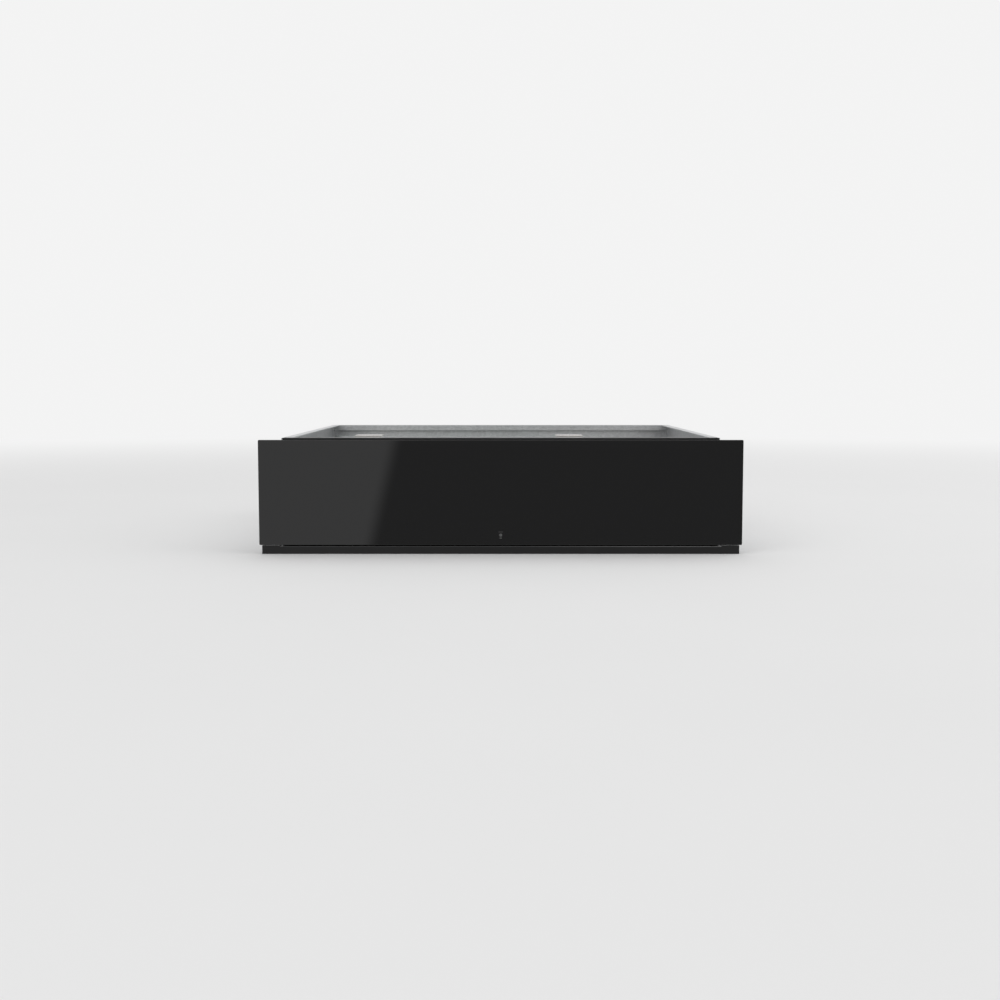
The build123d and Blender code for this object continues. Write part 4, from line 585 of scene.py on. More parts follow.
FINISHES: dict[str, Finish] = {
    finish.name: finish
    for finish in (
        GlossGlass("black_glass", (0.002, 0.002, 0.0022)),
        ClearGlass("clear_glass", (0.90, 0.97, 0.945)),
        Galvanised("galvanised_steel", (0.56, 0.57, 0.58)),
        BrushedMetal("stainless_steel", (0.60, 0.59, 0.57), 0.27),
        BrushedMetal("polished_stainless", (0.63, 0.62, 0.60), 0.20, Grain.NONE, 0.003 * MM),
        PaintedMetal("black_painted_steel", TRIM_BLACK, worn=TRIM_WORN, specular=TRIM_SPECULAR),
        PlatedMetal("zinc_plated_steel", (0.66, 0.67, 0.68)),
        PlatedMetal("steel_balls", (0.70, 0.70, 0.71), 0.12, (0.62, 0.62, 0.63)),
        MouldedPlastic("black_plastic", (0.014, 0.014, 0.015)),
        MouldedPlastic("grey_plastic", (0.21, 0.22, 0.23)),
        Elastomer("black_rubber", (0.014, 0.014, 0.014), 0.72, 0.06),
        Elastomer("grey_silicone", (0.30, 0.31, 0.32), 0.55),
        Elastomer("red_silicone", (0.38, 0.035, 0.022), 0.55, 0.06),
        BrushedMetal("aluminium", (0.72, 0.73, 0.74), 0.32, depth=0.006 * MM),
        CastMetal("cast_aluminium", (0.56, 0.57, 0.58)),
        PaintedMetal("motor_paint", (0.035, 0.040, 0.046), 0.42, 1.6 * MM),
        Layered("lamination_steel", (0.42, 0.41, 0.40), 0.42, (0.16, 0.15, 0.14), Axis.Y, MM, 0.9),
        Layered("copper_winding", (0.78, 0.32, 0.14), 0.3, (0.30, 0.09, 0.03), Axis.X, 0.9 * MM, 0.9),
        Layered("coil_tape", (0.55, 0.36, 0.03), 0.3, (0.36, 0.21, 0.015), Axis.Z, 6 * MM, 0.0, 0.08 * MM),
        CircuitBoard("circuit_board", (0.012, 0.095, 0.032)),
        PlatedMetal("brass", (0.66, 0.47, 0.17), 0.25, (0.55, 0.36, 0.12)),
        CoatedWeave("heating_band", (0.27, 0.155, 0.075)),
        HoseWall("clear_hose", (0.62, 0.66, 0.67)),
        MouldedPlastic("cable_jacket", (0.02, 0.02, 0.022), 0.42, 1.2 * MM),
    )
}

# Nodes whose finish differs from their slot's own.
STEEL_ALONG_Y = replace(FINISHES["stainless_steel"], name="stainless_along_y", grain=Grain.ALONG_Y)
NODE_FINISHES: dict[str, Finish] = {
    "lid_hinge_arms": STEEL_ALONG_Y,
    "hinge_brackets": STEEL_ALONG_Y,
    "lift_rods": replace(FINISHES["stainless_steel"], name="stainless_upright", grain=Grain.ALONG_Z),
    "lift_cylinders": replace(FINISHES["aluminium"], name="aluminium_upright", grain=Grain.ALONG_Z),
    "control_board": replace(FINISHES["circuit_board"], name="control_circuit", board_top=112.6 * MM),
    # The trim's paint carries a painted highlight along its upper front edge.
    "lower_trim": PaintedEdgeGlint("trim_paint", TRIM_BLACK, worn=TRIM_WORN, specular=TRIM_SPECULAR),
    "trim_end_caps": MouldedPlastic("cap_plastic", TRIM_BLACK, 0.40, specular=TRIM_SPECULAR),
}


class Kind(Enum):
    """What is picked in edit mode, with the name of its list in a mesh."""

    VERT = "verts"
    EDGE = "edges"
    FACE = "faces"


class Bench:
    """Modelling moves made with hand tools, one new object at a time."""

    # Segments of a tube's half section, by kind of line, and cuts between a smooth line's points.
    TUBE_SEGMENTS = {"NURBS": 5, "POLY": 3}
    LINE_CUTS = 14

    @staticmethod
    def clear() -> None:
        """Deselects every object."""
        bpy.ops.object.select_all(action="DESELECT")

    @classmethod
    def hold(cls, *pieces: Piece) -> None:
        """Selects some objects and nothing else, with the first one active.

        Args:
            *pieces: The objects.
        """
        cls.clear()
        for piece in pieces:
            piece.select_set(True)
        bpy.context.view_layer.objects.active = pieces[0]

    @staticmethod
    def settle(name: str) -> Piece:
        """Names the active object and moves its place into its mesh.

        Args:
            name: Name of the piece.

        Returns:
            The object, at the origin.
        """
        made = bpy.context.active_object
        made.name = made.data.name = name
        bpy.ops.object.transform_apply(location=True, rotation=True, scale=True)
        return made

    @classmethod
    def block(cls, name: str, low: Place, high: Place) -> Piece:
        """Adds a box between two corners.

        Args:
            name: Name of the piece.
            low: Lowest corner.
            high: Highest corner.

        Returns:
            The new object.
        """
        cls.clear()
        low, high = Vector(low), Vector(high)
        bpy.ops.mesh.primitive_cube_add(size=1.0, location=(low + high) / 2, scale=high - low)
        return cls.settle(name)

    @classmethod
    @contextmanager
    def editing(cls, piece: Piece, everything: bool = False) -> Iterator[None]:
        """Opens a piece in edit mode, and closes it afterwards.

        Args:
            piece: The object to edit.
            everything: Whether all of it is selected, or nothing.

        Yields:
            Nothing, while the piece is open.
        """
        cls.hold(piece)
        bpy.ops.object.mode_set(mode="EDIT")
        bpy.ops.mesh.select_all(action="SELECT" if everything else "DESELECT")
        yield
        bpy.ops.object.mode_set(mode="OBJECT")

    @staticmethod
    def pick(kind: Kind, test: Callable[[object], bool]) -> None:
        """Selects the open piece's vertices, edges or faces that pass a test.

        Args:
            kind: What to select.
            test: Takes a vertex, edge or face and says whether it is wanted.
        """
        bpy.ops.mesh.select_mode(type=kind.name)
        bpy.ops.mesh.select_all(action="DESELECT")
        data = bpy.context.edit_object.data
        mesh = bmesh.from_edit_mesh(data)
        for item in filter(test, getattr(mesh, kind.value)):
            item.select_set(True)
        mesh.select_flush_mode()
        bmesh.update_edit_mesh(data)

    @classmethod
    def pick_at(cls, axis: Axis, place: float) -> None:
        """Selects the open piece's faces that lie at one place on an axis."""
        cls.pick(Kind.FACE, lambda face: all(abs(vert.co[axis] - place) < NEAR for vert in face.verts))

    @classmethod
    def round_along(cls, axis: Axis, radius: float, segments: int) -> None:
        """Rounds the open block's edges that run along an axis."""
        cls.pick(Kind.EDGE, lambda edge: abs(edge.verts[1].co[axis] - edge.verts[0].co[axis]) > NEAR)
        bpy.ops.mesh.bevel(offset=radius, segments=segments, affect="EDGES")

    @classmethod
    def grind(cls, axis: Axis, place: float, width: float, segments: int) -> None:
        """Bevels the outline of the open piece's face at one place on an axis.

        Args:
            axis: Axis that the face looks along.
            place: Where the face lies on it.
            width: Width of the bevel.
            segments: Faces across the bevel.
        """
        cls.pick_at(axis, place)
        bpy.ops.mesh.region_to_loop()
        bpy.ops.mesh.bevel(offset=width, segments=segments, affect="EDGES")

    @classmethod
    def modify(cls, piece: Piece, kind: str, **settings: object) -> None:
        """Adds a modifier and applies it.

        Args:
            piece: The object.
            kind: Blender's name of the modifier type.
            **settings: Properties to set on it.
        """
        cls.hold(piece)
        modifier = adjust(piece.modifiers.new("shape", kind), **settings)
        bpy.ops.object.modifier_apply(modifier=modifier.name)

    @classmethod
    def smooth(cls, piece: Piece, degrees: float) -> None:
        """Shades a piece smooth, but for edges sharper than an angle, with its large faces kept flat.

        Args:
            piece: The object.
            degrees: The angle.
        """
        cls.hold(piece)
        bpy.ops.object.shade_smooth_by_angle(angle=math.radians(degrees))
        cls.modify(piece, "WEIGHTED_NORMAL", keep_sharp=True, weight=100)

    @classmethod
    def pipe(cls, name: str, radius: float, points: Sequence[Point], kind: str) -> Piece:
        """Builds a round tube along a line.

        Args:
            name: Name of the tube.
            radius: Its radius.
            points: Control points of the line.
            kind: NURBS for a smooth line, POLY for one through close points.

        Returns:
            The tube as a mesh.
        """
        line = bpy.data.curves.new(name, "CURVE")
        adjust(line, dimensions="3D", resolution_u=cls.LINE_CUTS, use_fill_caps=True)
        adjust(line, bevel_depth=radius, bevel_resolution=cls.TUBE_SEGMENTS[kind])
        spline = line.splines.new(kind)
        spline.points.add(len(points) - 1)
        for corner, point in zip(spline.points, points):
            corner.co = (*point, 1.0)
        adjust(spline, order_u=3, use_endpoint_u=True)
        tube = bpy.data.objects.new(name, line)
        bpy.context.scene.collection.objects.link(tube)
        cls.hold(tube)
        bpy.ops.object.convert(target="MESH")
        return bpy.context.active_object

    @classmethod
    def join(cls, parts: Sequence[Piece], name: str) -> Piece:
        """Joins objects into one.

        Args:
            parts: The objects.
            name: Name of the result.

        Returns:
            The joined object.
        """
        cls.hold(*parts)
        bpy.ops.object.join()
        joined = parts[0]
        joined.name = joined.data.name = name
        return joined


def dress(piece: Piece, body: str, slot: str, finish: Finish | None = None, node: str = "") -> None:
    """Gives a new piece its finish and its body.

    Args:
        piece: The new object.
        body: Name of the body that it moves with.
        slot: Material slot of the record that it takes its finish from.
        finish: Another finish than the slot's own.
        node: CAD node that it stands for, if any.
    """
    piece.data.materials.clear()
    piece.data.materials.append((finish or FINISHES[slot]).material)
    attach(piece, body)
    if node:
        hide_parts(node)
    log.info("%s rides on %s in %s", piece.name, body, slot)


class Facing(Enum):
    """Way that a print looks once it is laid on its glass."""

    UP = Matrix.Identity(4)
    FRONT = Matrix.Rotation(math.radians(90), 4, "X")


@dataclass
class Print:
    """A group of marks printed on one pane, each built flat, facing up, and then laid in place."""

    name: str
    facing: Facing
    thickness: float = 0.04 * MM
    sides: int = 48
    bar_round: float = 0.45
    triangle_round: float = 0.12
    marks: list[Piece] = field(default_factory=list)

    def lay(self, place: Place) -> None:
        """Gives the active outline its thickness and lays it on the pane.

        Args:
            place: Where the mark's middle touches the pane.
        """
        mark = bpy.context.active_object
        upward = math.copysign(1.0, mark.data.polygons[0].normal.z)
        Bench.modify(mark, "SOLIDIFY", thickness=self.thickness, offset=upward)
        with Bench.editing(mark, everything=True):
            bpy.ops.mesh.normals_make_consistent(inside=False)
        mark.data.transform(Matrix.Translation(place) @ self.facing.value)
        self.marks.append(mark)

    def ring(self, place: Place, radius: float, width: float, gap: float = 0.0) -> None:
        """Prints a ring, with a gap at its top if one is asked for.

        Args:
            place: Where its middle lies.
            radius: Its inner radius.
            width: Width of the line.
            gap: Degrees that are left out on each side of the top.
        """
        Bench.clear()
        bpy.ops.mesh.primitive_circle_add(vertices=self.sides, radius=radius, fill_type="NOTHING")
        widen = (radius + width) / radius
        with Bench.editing(bpy.context.active_object):
            if gap:
                reach = radius * math.sin(math.radians(gap))
                Bench.pick(Kind.VERT, lambda vert: vert.co.y > 0 and abs(vert.co.x) < reach)
                bpy.ops.mesh.delete(type="VERT")
            bpy.ops.mesh.select_all(action="SELECT")
            bpy.ops.mesh.extrude_edges_move()
            bpy.ops.transform.resize(value=(widen, widen, 1.0), center_override=ORIGIN)
        self.lay(place)

    def dot(self, place: Place, radius: float) -> None:
        """Prints a filled dot.

        Args:
            place: Where its middle lies.
            radius: Its radius.
        """
        Bench.clear()
        bpy.ops.mesh.primitive_circle_add(vertices=self.sides // 2, radius=radius, fill_type="NGON")
        self.lay(place)

    def triangle(self, place: Place, radius: float) -> None:
        """Prints a filled triangle that points to the right.

        Args:
            place: Where its middle lies.
            radius: Distance from its middle to its corners.
        """
        Bench.clear()
        bpy.ops.mesh.primitive_circle_add(vertices=3, radius=radius, fill_type="NGON")
        arrow = bpy.context.active_object
        arrow.data.transform(Matrix.Rotation(math.radians(-90), 4, "Z"))
        self.soften(arrow, self.triangle_round * radius, segments=3)
        self.lay(place)

    def bar(self, place: Place, width: float, height: float) -> None:
        """Prints a bar with rounded ends, of a width along X and a height across it."""
        self.soften(self.plate(width, height), self.bar_round * min(width, height), segments=4)
        self.lay(place)

    def frame(self, place: Place, width: float, height: float, line: float, corner: float) -> None:
        """Prints the outline of a rounded rectangle.

        Args:
            place: Where its middle lies.
            width: Size along X.
            height: Size across it.
            line: Width of the line.
            corner: Radius of the corners.
        """
        plate = self.plate(width, height)
        self.soften(plate, corner, segments=6)
        with Bench.editing(plate, everything=True):
            bpy.ops.mesh.inset(thickness=line)
            bpy.ops.mesh.delete(type="FACE")
        self.lay(place)

    @staticmethod
    def plate(width: float, height: float) -> Piece:
        """Adds a flat rectangle at the origin.

        Args:
            width: Size along X.
            height: Size along Y.

        Returns:
            The rectangle.
        """
        Bench.clear()
        bpy.ops.mesh.primitive_plane_add(size=1.0)
        plate = bpy.context.active_object
        plate.data.transform(Matrix.Diagonal((width, height, 1.0, 1.0)))
        return plate

    @staticmethod
    def soften(mark: Piece, radius: float, segments: int) -> None:
        """Rounds every corner of a flat mark."""
        with Bench.editing(mark, everything=True):
            bpy.ops.mesh.bevel(offset=radius, segments=segments, affect="VERTICES")

    def finish(self, body: str, slot: str, ink: Finish) -> None:
        """Joins the marks and dresses them as one piece, in their ink."""
        dress(Bench.join(self.marks, self.name), body, slot, ink)


@dataclass
class FrontPanel:
    """Glass front of the drawer, with ground edges and a push mark low on its middle."""

    node: str = "front_glass"
    body: str = "drawer"
    ink: Finish = PrintedInk("front_ink", (0.085, 0.085, 0.085))
    ink_room: float = 0.04 * MM
    ink_thickness: float = 0.036 * MM
    corner_radius: float = 1.5 * MM
    arris: float = 0.55 * MM
    back_arris: float = 0.3 * MM
    mark_height: float = 23.4 * MM
    dot_radius: float = 1.9 * MM
    # Rise over the dot, width and height of each bar.
    bars: tuple[Point, ...] = ((3.9 * MM, 5.8 * MM, 0.45 * MM), (-3.6 * MM, 2.9 * MM, 1.1 * MM))

    def build(self) -> None:
        """Builds the pane, and prints a small dot between two bars, the sign to push here."""
        low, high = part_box(self.node)
        face = low.y + self.ink_room
        pane = Bench.block("front_pane", (low.x, face, low.z), high)
        with Bench.editing(pane):
            Bench.round_along(Axis.Y, self.corner_radius, segments=5)
            Bench.grind(Axis.Y, face, self.arris, segments=4)
            Bench.grind(Axis.Y, high.y, self.back_arris, segments=1)
        Bench.smooth(pane, degrees=30.0)
        dress(pane, self.body, "black_glass", node=self.node)
        mark = Print("front_push_mark", Facing.FRONT, self.ink_thickness)
        mark.dot((0.0, face, self.mark_height), self.dot_radius)
        for rise, width, height in self.bars:
            mark.bar((0.0, face, self.mark_height + rise), width, height)
        mark.finish(self.body, "grey_plastic", self.ink)


@dataclass
class GlassLid:
    """Thick glass lid, whose edges are a rim of their own finish round a clear pane."""

    node: str = "lid_glass"
    body: str = "lid"
    corner: float = 8.0 * MM
    bevel: float = 1.2 * MM
    skin: float = 0.1 * MM
    edge: Finish = GlassEdge("lid_edge", (0.11, 0.24, 0.185))

    def build(self) -> None:
        """Builds the pane and its rim."""
        low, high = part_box(self.node)
        inset = Vector((2 * self.skin, 2 * self.skin, self.skin / 2))
        pane = self.plate("lid_pane", low + inset, high - inset)
        dress(pane, self.body, "clear_glass", node=self.node)
        rim = self.plate("lid_rim", low, high)
        with Bench.editing(rim):
            for place in (low.z, high.z):
                Bench.pick_at(Axis.Z, place)
                bpy.ops.mesh.delete(type="FACE")
        Bench.modify(rim, "SOLIDIFY", thickness=self.skin, offset=-1.0)
        Bench.smooth(rim, degrees=30.0)
        dress(rim, self.body, "clear_glass", self.edge)

    def plate(self, name: str, low: Vector, high: Vector) -> Piece:
        """Builds a plate with rounded corners and both its outlines bevelled.

        Args:
            name: Name of the plate.
            low: Lowest corner.
            high: Highest corner.

        Returns:
            The plate.
        """
        plate = Bench.block(name, low, high)
        with Bench.editing(plate):
            Bench.round_along(Axis.Z, self.corner, segments=8)
            for place in (low.z, high.z):
                Bench.grind(Axis.Z, place, self.bevel, segments=3)
        Bench.smooth(plate, degrees=30.0)
        return plate


@dataclass
class Controls:
    """Printed signs on the control glass, over the board's pads and display."""

    node: str = "control_glass"
    board: str = "control_board"
    body: str = "drawer"
    ink: Finish = PrintedInk("control_ink", (0.62, 0.63, 0.64))
    line: float = 0.45 * MM
    rows: int = 4
    first_row: float = 23.5 * MM
    row_step: float = 31.0 * MM
    column: float = 13.0 * MM
    ring_radius: float = 5.4 * MM
    power_radius: float = 1.9 * MM
    power_gap: float = 35.0
    power_stem: float = 2.0 * MM
    start_radius: float = 2.4 * MM
    dash_length: float = 3.6 * MM
    dash_step: float = 1.5 * MM
    seal_radius: float = 2.1 * MM
    seal_dot: float = 0.6 * MM
    level_marks: int = 3
    level_step: float = 3.4 * MM
    level_dot: float = 0.42 * MM
    level_width: float = 1.3 * MM
    level_rise: float = 1.6 * MM
    level_foot: float = 2.4 * MM
    display_middle: float = 167.0 * MM
    display_size: float = 46.0 * MM
    display_corner: float = 3.0 * MM
    segments: int = 5
    segment_step: float = 7.0 * MM
    segment_row: float = 9.2 * MM
    segment_size: Span = (5.0 * MM, 1.1 * MM)
    signs: Print = field(default_factory=lambda: Print("control_signs", Facing.UP))

    def build(self) -> None:
        """Prints every sign over its part of the board below, and joins them."""
        low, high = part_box(self.node)
        middle = (low.x + high.x) / 2
        board_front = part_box(self.board)[0].y
        for row in range(self.rows):
            y = board_front + self.first_row + row * self.row_step
            left = (middle - self.column, y, high.z)
            self.signs.ring(left, self.ring_radius, self.line)
            self.symbol(row, left)
            self.levels(row, (middle + self.column, y, high.z))
        self.display((middle, board_front + self.display_middle, high.z))
        self.signs.finish(self.body, "grey_plastic", self.ink)

    def symbol(self, row: int, place: Point) -> None:
        """Prints the plain sign inside one touch ring.

        Args:
            row: Row of the ring, from the front.
            place: Middle of the ring.
        """
        x, y, z = place
        if row == 0:
            self.signs.ring(place, self.power_radius, self.line, self.power_gap)
            self.signs.bar((x, y + self.power_radius, z), self.line, self.power_stem)
        elif row == 1:
            self.signs.triangle(place, self.start_radius)
        elif row == 2:
            for shift in (-self.dash_step, 0.0, self.dash_step):
                self.signs.bar((x, y + shift, z), self.dash_length, self.line)
        else:
            self.signs.ring(place, self.seal_radius, self.line)
            self.signs.dot(place, self.seal_dot)

    def levels(self, row: int, place: Point) -> None:
        """Prints the level sign beside one touch ring, as dots or as bars.

        Args:
            row: Row of the ring, from the front.
            place: Middle of the sign.
        """
        x, y, z = place
        for level in range(1, self.level_marks + 1):
            across = x + (level - (self.level_marks + 1) / 2) * self.level_step
            height = self.level_rise * level
            if row % 2:
                self.signs.dot((across, y, z), self.level_dot * level)
            else:
                self.signs.bar((across, y - self.level_foot + height / 2, z), self.level_width, height)

    def display(self, place: Point) -> None:
        """Prints the display's outline and its two rows of segments.

        Args:
            place: Middle of the display.
        """
        x, y, z = place
        self.signs.frame(place, self.display_size, self.display_size, self.line, self.display_corner)
        for side in (-1, 1):
            for number in range(self.segments):
                across = x + (number - self.segments // 2) * self.segment_step
                self.signs.bar((across, y + side * self.segment_row, z), *self.segment_size)


@dataclass
class ScrewSet:
    """All pan head screws of one node, with a cross recess and a rolled thread."""

    node: str
    body: str
    head_radius: float = 3.2 * MM
    head_height: float = 1.6 * MM
    head_bevel: float = 0.95 * MM
    head_sides: int = 28
    recess: Point = (3.6 * MM, 0.85 * MM, 1.1 * MM)
    recess_taper: float = 0.7
    shank_radius: float = 1.7 * MM
    thread_depth: float = 0.22 * MM
    thread_pitch: float = 0.7 * MM
    thread_sides: int = 16
    # Shares of a pitch: from a turn's start to its crest's end, and from there to its root.
    crest: float = 0.2
    flank: float = 0.4
    patterns: dict[float, Piece] = field(default_factory=dict)

    def build(self) -> None:
        """Puts a detailed screw where each plain one of the node is."""
        screws = [self.place(points) for points in self.islands()]
        for pattern in self.patterns.values():
            bpy.data.objects.remove(pattern)
        joined = Bench.join(screws, self.node + "_threaded")
        Bench.smooth(joined, degrees=40.0)
        dress(joined, self.body, "zinc_plated_steel", node=self.node)

    def islands(self) -> Iterator[list[Vector]]:
        """Finds the node's separate screws.

        Yields:
            The points of one screw.
        """
        mesh = bmesh.new()
        mesh.from_mesh(frame["nodes"][self.node].data)
        bmesh.ops.remove_doubles(mesh, verts=mesh.verts, dist=NEAR)
        left = set(mesh.verts)
        while left:
            reached = [min(left, key=lambda vert: vert.index)]
            left.discard(reached[0])
            for vert in reached:
                near = [edge.other_vert(vert) for edge in vert.link_edges]
                fresh = [other for other in near if other in left]
                left.difference_update(fresh)
                reached.extend(fresh)
            yield [vert.co.copy() for vert in reached]
        mesh.free()

    def place(self, points: list[Vector]) -> Piece:
        """Copies a screw, with its own mesh, to where one island of the node lies.

        Args:
            points: The island's points.

        Returns:
            The copy.
        """
        low = Vector([min(parts) for parts in zip(*points)])
        high = Vector([max(parts) for parts in zip(*points)])
        size, seat = high - low, (low + high) / 2
        axis = max(Axis, key=lambda way: abs(size[way] - 2 * self.head_radius))
        rim = max(points, key=lambda point: point[(axis + 1) % len(Axis)])
        out = math.copysign(1.0, rim[axis] - seat[axis])
        seat[axis] = (high if out > 0 else low)[axis] - out * self.head_height
        length = round(size[axis] - self.head_height, 5)
        if length not in self.patterns:
            self.patterns[length] = self.pattern(length)
        pattern = self.patterns[length]
        screw = adjust(pattern.copy(), data=pattern.data.copy())
        upward = Vector([out if way == axis else 0.0 for way in Axis])
        turn = upward.to_track_quat("Z", "Y").to_matrix().to_4x4()
        screw.data.transform(Matrix.Translation(seat) @ turn)
        bpy.context.scene.collection.objects.link(screw)
        return screw

    def pattern(self, length: float) -> Piece:
        """Builds one screw that points down from the origin, under its head.

        Args:
            length: Length of its shank.

        Returns:
            The screw.
        """
        Bench.clear()
        bpy.ops.mesh.primitive_cylinder_add(
            vertices=self.head_sides, radius=self.head_radius, depth=self.head_height,
            location=(0.0, 0.0, self.head_height / 2),
        )
        head = Bench.settle("screw_head")
        with Bench.editing(head):
            Bench.grind(Axis.Z, self.head_height, self.head_bevel, segments=5)
        wide, thin, deep = self.recess
        floor = self.head_height - deep
        for x, y in ((wide / 2, thin / 2), (thin / 2, wide / 2)):
            cross = Bench.block("screw_recess", (-x, -y, floor), (x, y, self.head_height + deep))
            with Bench.editing(cross):
                Bench.pick_at(Axis.Z, floor)
                taper = (self.recess_taper, self.recess_taper, 1.0)
                bpy.ops.transform.resize(value=taper, center_override=(0.0, 0.0, floor))
            Bench.modify(head, "BOOLEAN", object=cross, operation="DIFFERENCE")
            bpy.data.objects.remove(cross)
        return Bench.join([head, self.thread(length)], "screw_pattern")

    def thread(self, length: float) -> Piece:
        """Builds the threaded shank by spinning its outline.

        Args:
            length: Length of the shank.

        Returns:
            The shank.
        """
        turns = max(2, round(length / self.thread_pitch))
        pitch = length / turns
        root = self.shank_radius - self.thread_depth
        outline = [(0.0, 0.0), (self.shank_radius, 0.0)]
        for turn in range(turns):
            crest = -(turn + self.crest) * pitch
            outline += [(self.shank_radius, crest), (root, crest - self.flank * pitch)]
        outline += [(root, -length), (0.0, -length)]
        Bench.clear()
        bpy.ops.mesh.primitive_plane_add(size=1.0)
        shank = bpy.context.active_object
        with Bench.editing(shank, everything=True):
            bpy.ops.mesh.delete(type="VERT")
            mesh = bmesh.from_edit_mesh(shank.data)
            corners = [mesh.verts.new((across, 0.0, height)) for across, height in outline]
            for ends in zip(corners, corners[1:]):
                mesh.edges.new(ends)
            bmesh.update_edit_mesh(shank.data)
            bpy.ops.mesh.select_all(action="SELECT")
            bpy.ops.mesh.spin(steps=self.thread_sides, angle=FULL_TURN, center=ORIGIN, axis=(0.0, 0.0, 1.0))
            bpy.ops.mesh.select_all(action="SELECT")
            bpy.ops.mesh.remove_doubles(threshold=NEAR)
            bpy.ops.mesh.normals_make_consistent(inside=False)
        return shank


# One hose or lead: its radius in metres, and its route's points in millimetres.
Run = tuple[float, Sequence[Point]]

WIDE_HOSE, THIN_HOSE, LEAD = 4.5 * MM, 2.5 * MM, 2.6 * MM
HOSES: Sequence[Run] = (
    (WIDE_HOSE, ((109.4, 94.5, 42), (109.4, 108.5, 42), (109.4, 129, 27.2), (42.4, 129, 27.2))),
    (WIDE_HOSE, ((-67.6, 129, 27.2), (-89.6, 129, 27.2), (-122, 117, 70.2), (-122, 151, 70.2))),
    (THIN_HOSE, ((-42.6, 109, 19.2), (-42.6, 62.5, 19.2), (64.4, -60, 19.2), (64.4, -166.5, 19.2))),
    (THIN_HOSE, (
        (-152.6, -166.5, 19.2), (-152.6, -126.5, 19.2), (-47.6, -112.5, 19.2), (54.4, -126.5, 19.2),
        (54.4, -166.5, 19.2),
    )),
)
LEADS: Sequence[Run] = (
    (LEAD, ((185.65, 3, 33.8), (185.65, 3, 63.8), (203.5, -32, 79.8), (203.5, -32, 111))),
    (LEAD, (
        (169.65, 8, 27.8), (169.65, 70, 27.8), (153.65, 92, 91.2), (76, 92, 91.2), (19, 98, 91.2),
        (19, 155, 91.2),
    )),
    (LEAD, (
        (110, 245, 40), (110, 225, 40), (168.65, 205, 40), (221.65, 145, 31.8), (221.65, 58, 26.8),
        (221.65, 8, 26.8),
    )),
    (LEAD, (
        (110, 153, 30.2), (110, 143, 30.2), (124, 122.5, 22.2), (116, 84.5, 19.2), (102.4, 22.5, 19.2),
        (72.4, -80, 19.2), (72.4, -166.5, 19.2),
    )),
)


@dataclass
class Routed:
    """Hoses or leads held between fittings inside the drawer, in place of one node's plain tubes."""

    node: str
    name: str
    slot: str
    runs: Sequence[Run]
    body: str = "drawer"

    def build(self) -> None:
        """Builds a tube along each run and joins them."""
        tubes = []
        for radius, route in self.runs:
            points = [tuple(part * MM for part in point) for point in route]
            tubes.append(Bench.pipe(self.name, radius, points, "NURBS"))
        joined = Bench.join(tubes, self.name)
        Bench.smooth(joined, degrees=50.0)
        dress(joined, self.body, self.slot, node=self.node)


@dataclass
class LatchSprings:
    """The two coil springs that push the latch plungers out."""

    node: str = "latch_springs"
    body: str = "housing"
    joint: str = "latch_push"
    wire: float = 0.35 * MM
    coil: float = 2.4 * MM
    places: Span = (-266.55 * MM, 266.55 * MM)
    height: float = 20.5 * MM
    front: float = -224.7 * MM
    seat: float = -190.0 * MM
    turns: int = 11
    closed_turns: float = 1.25
    steps: int = 20

    def build(self) -> None:
        """Winds both springs and joins them."""
        joined = Bench.join([self.wind(place) for place in self.places], "latch_spring_pair")
        Bench.smooth(joined, degrees=60.0)
        dress(joined, self.body, "zinc_plated_steel", node=self.node)
        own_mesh(joined)

    def wind(self, x: float) -> Piece:
        """Winds one spring with closed ends.

        Args:
            x: Where its axis lies.

        Returns:
            The spring as a mesh.
        """
        touching = 2 * self.wire
        free = (self.seat - self.front - touching) - 2 * self.closed_turns * touching
        pitch = free / (self.turns - 2 * self.closed_turns)
        y = self.front + self.wire
        points = []
        for number in range(self.turns * self.steps + 1):
            turn = number / self.steps
            angle = FULL_TURN * turn
            points.append((x + self.coil * math.cos(angle), y, self.height + self.coil * math.sin(angle)))
            closed = turn < self.closed_turns or turn >= self.turns - self.closed_turns
            y += (touching if closed else pitch) / self.steps
        return Bench.pipe("spring", self.wire, points, "POLY")


@dataclass
class PackedParts:
    """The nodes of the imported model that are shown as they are, each in its slot's finish or its own."""

    special: Mapping[str, Finish]

    def build(self) -> None:
        """Gives every node its finish."""
        for row in frame["record"]["subparts"]:
            node = row["node"]
            finish = self.special.get(node, FINISHES[row["material_slot"]])
            for place in frame["nodes"][node].material_slots:
                place.material = finish.material
            log.info("%s wears %s", node, finish.name)


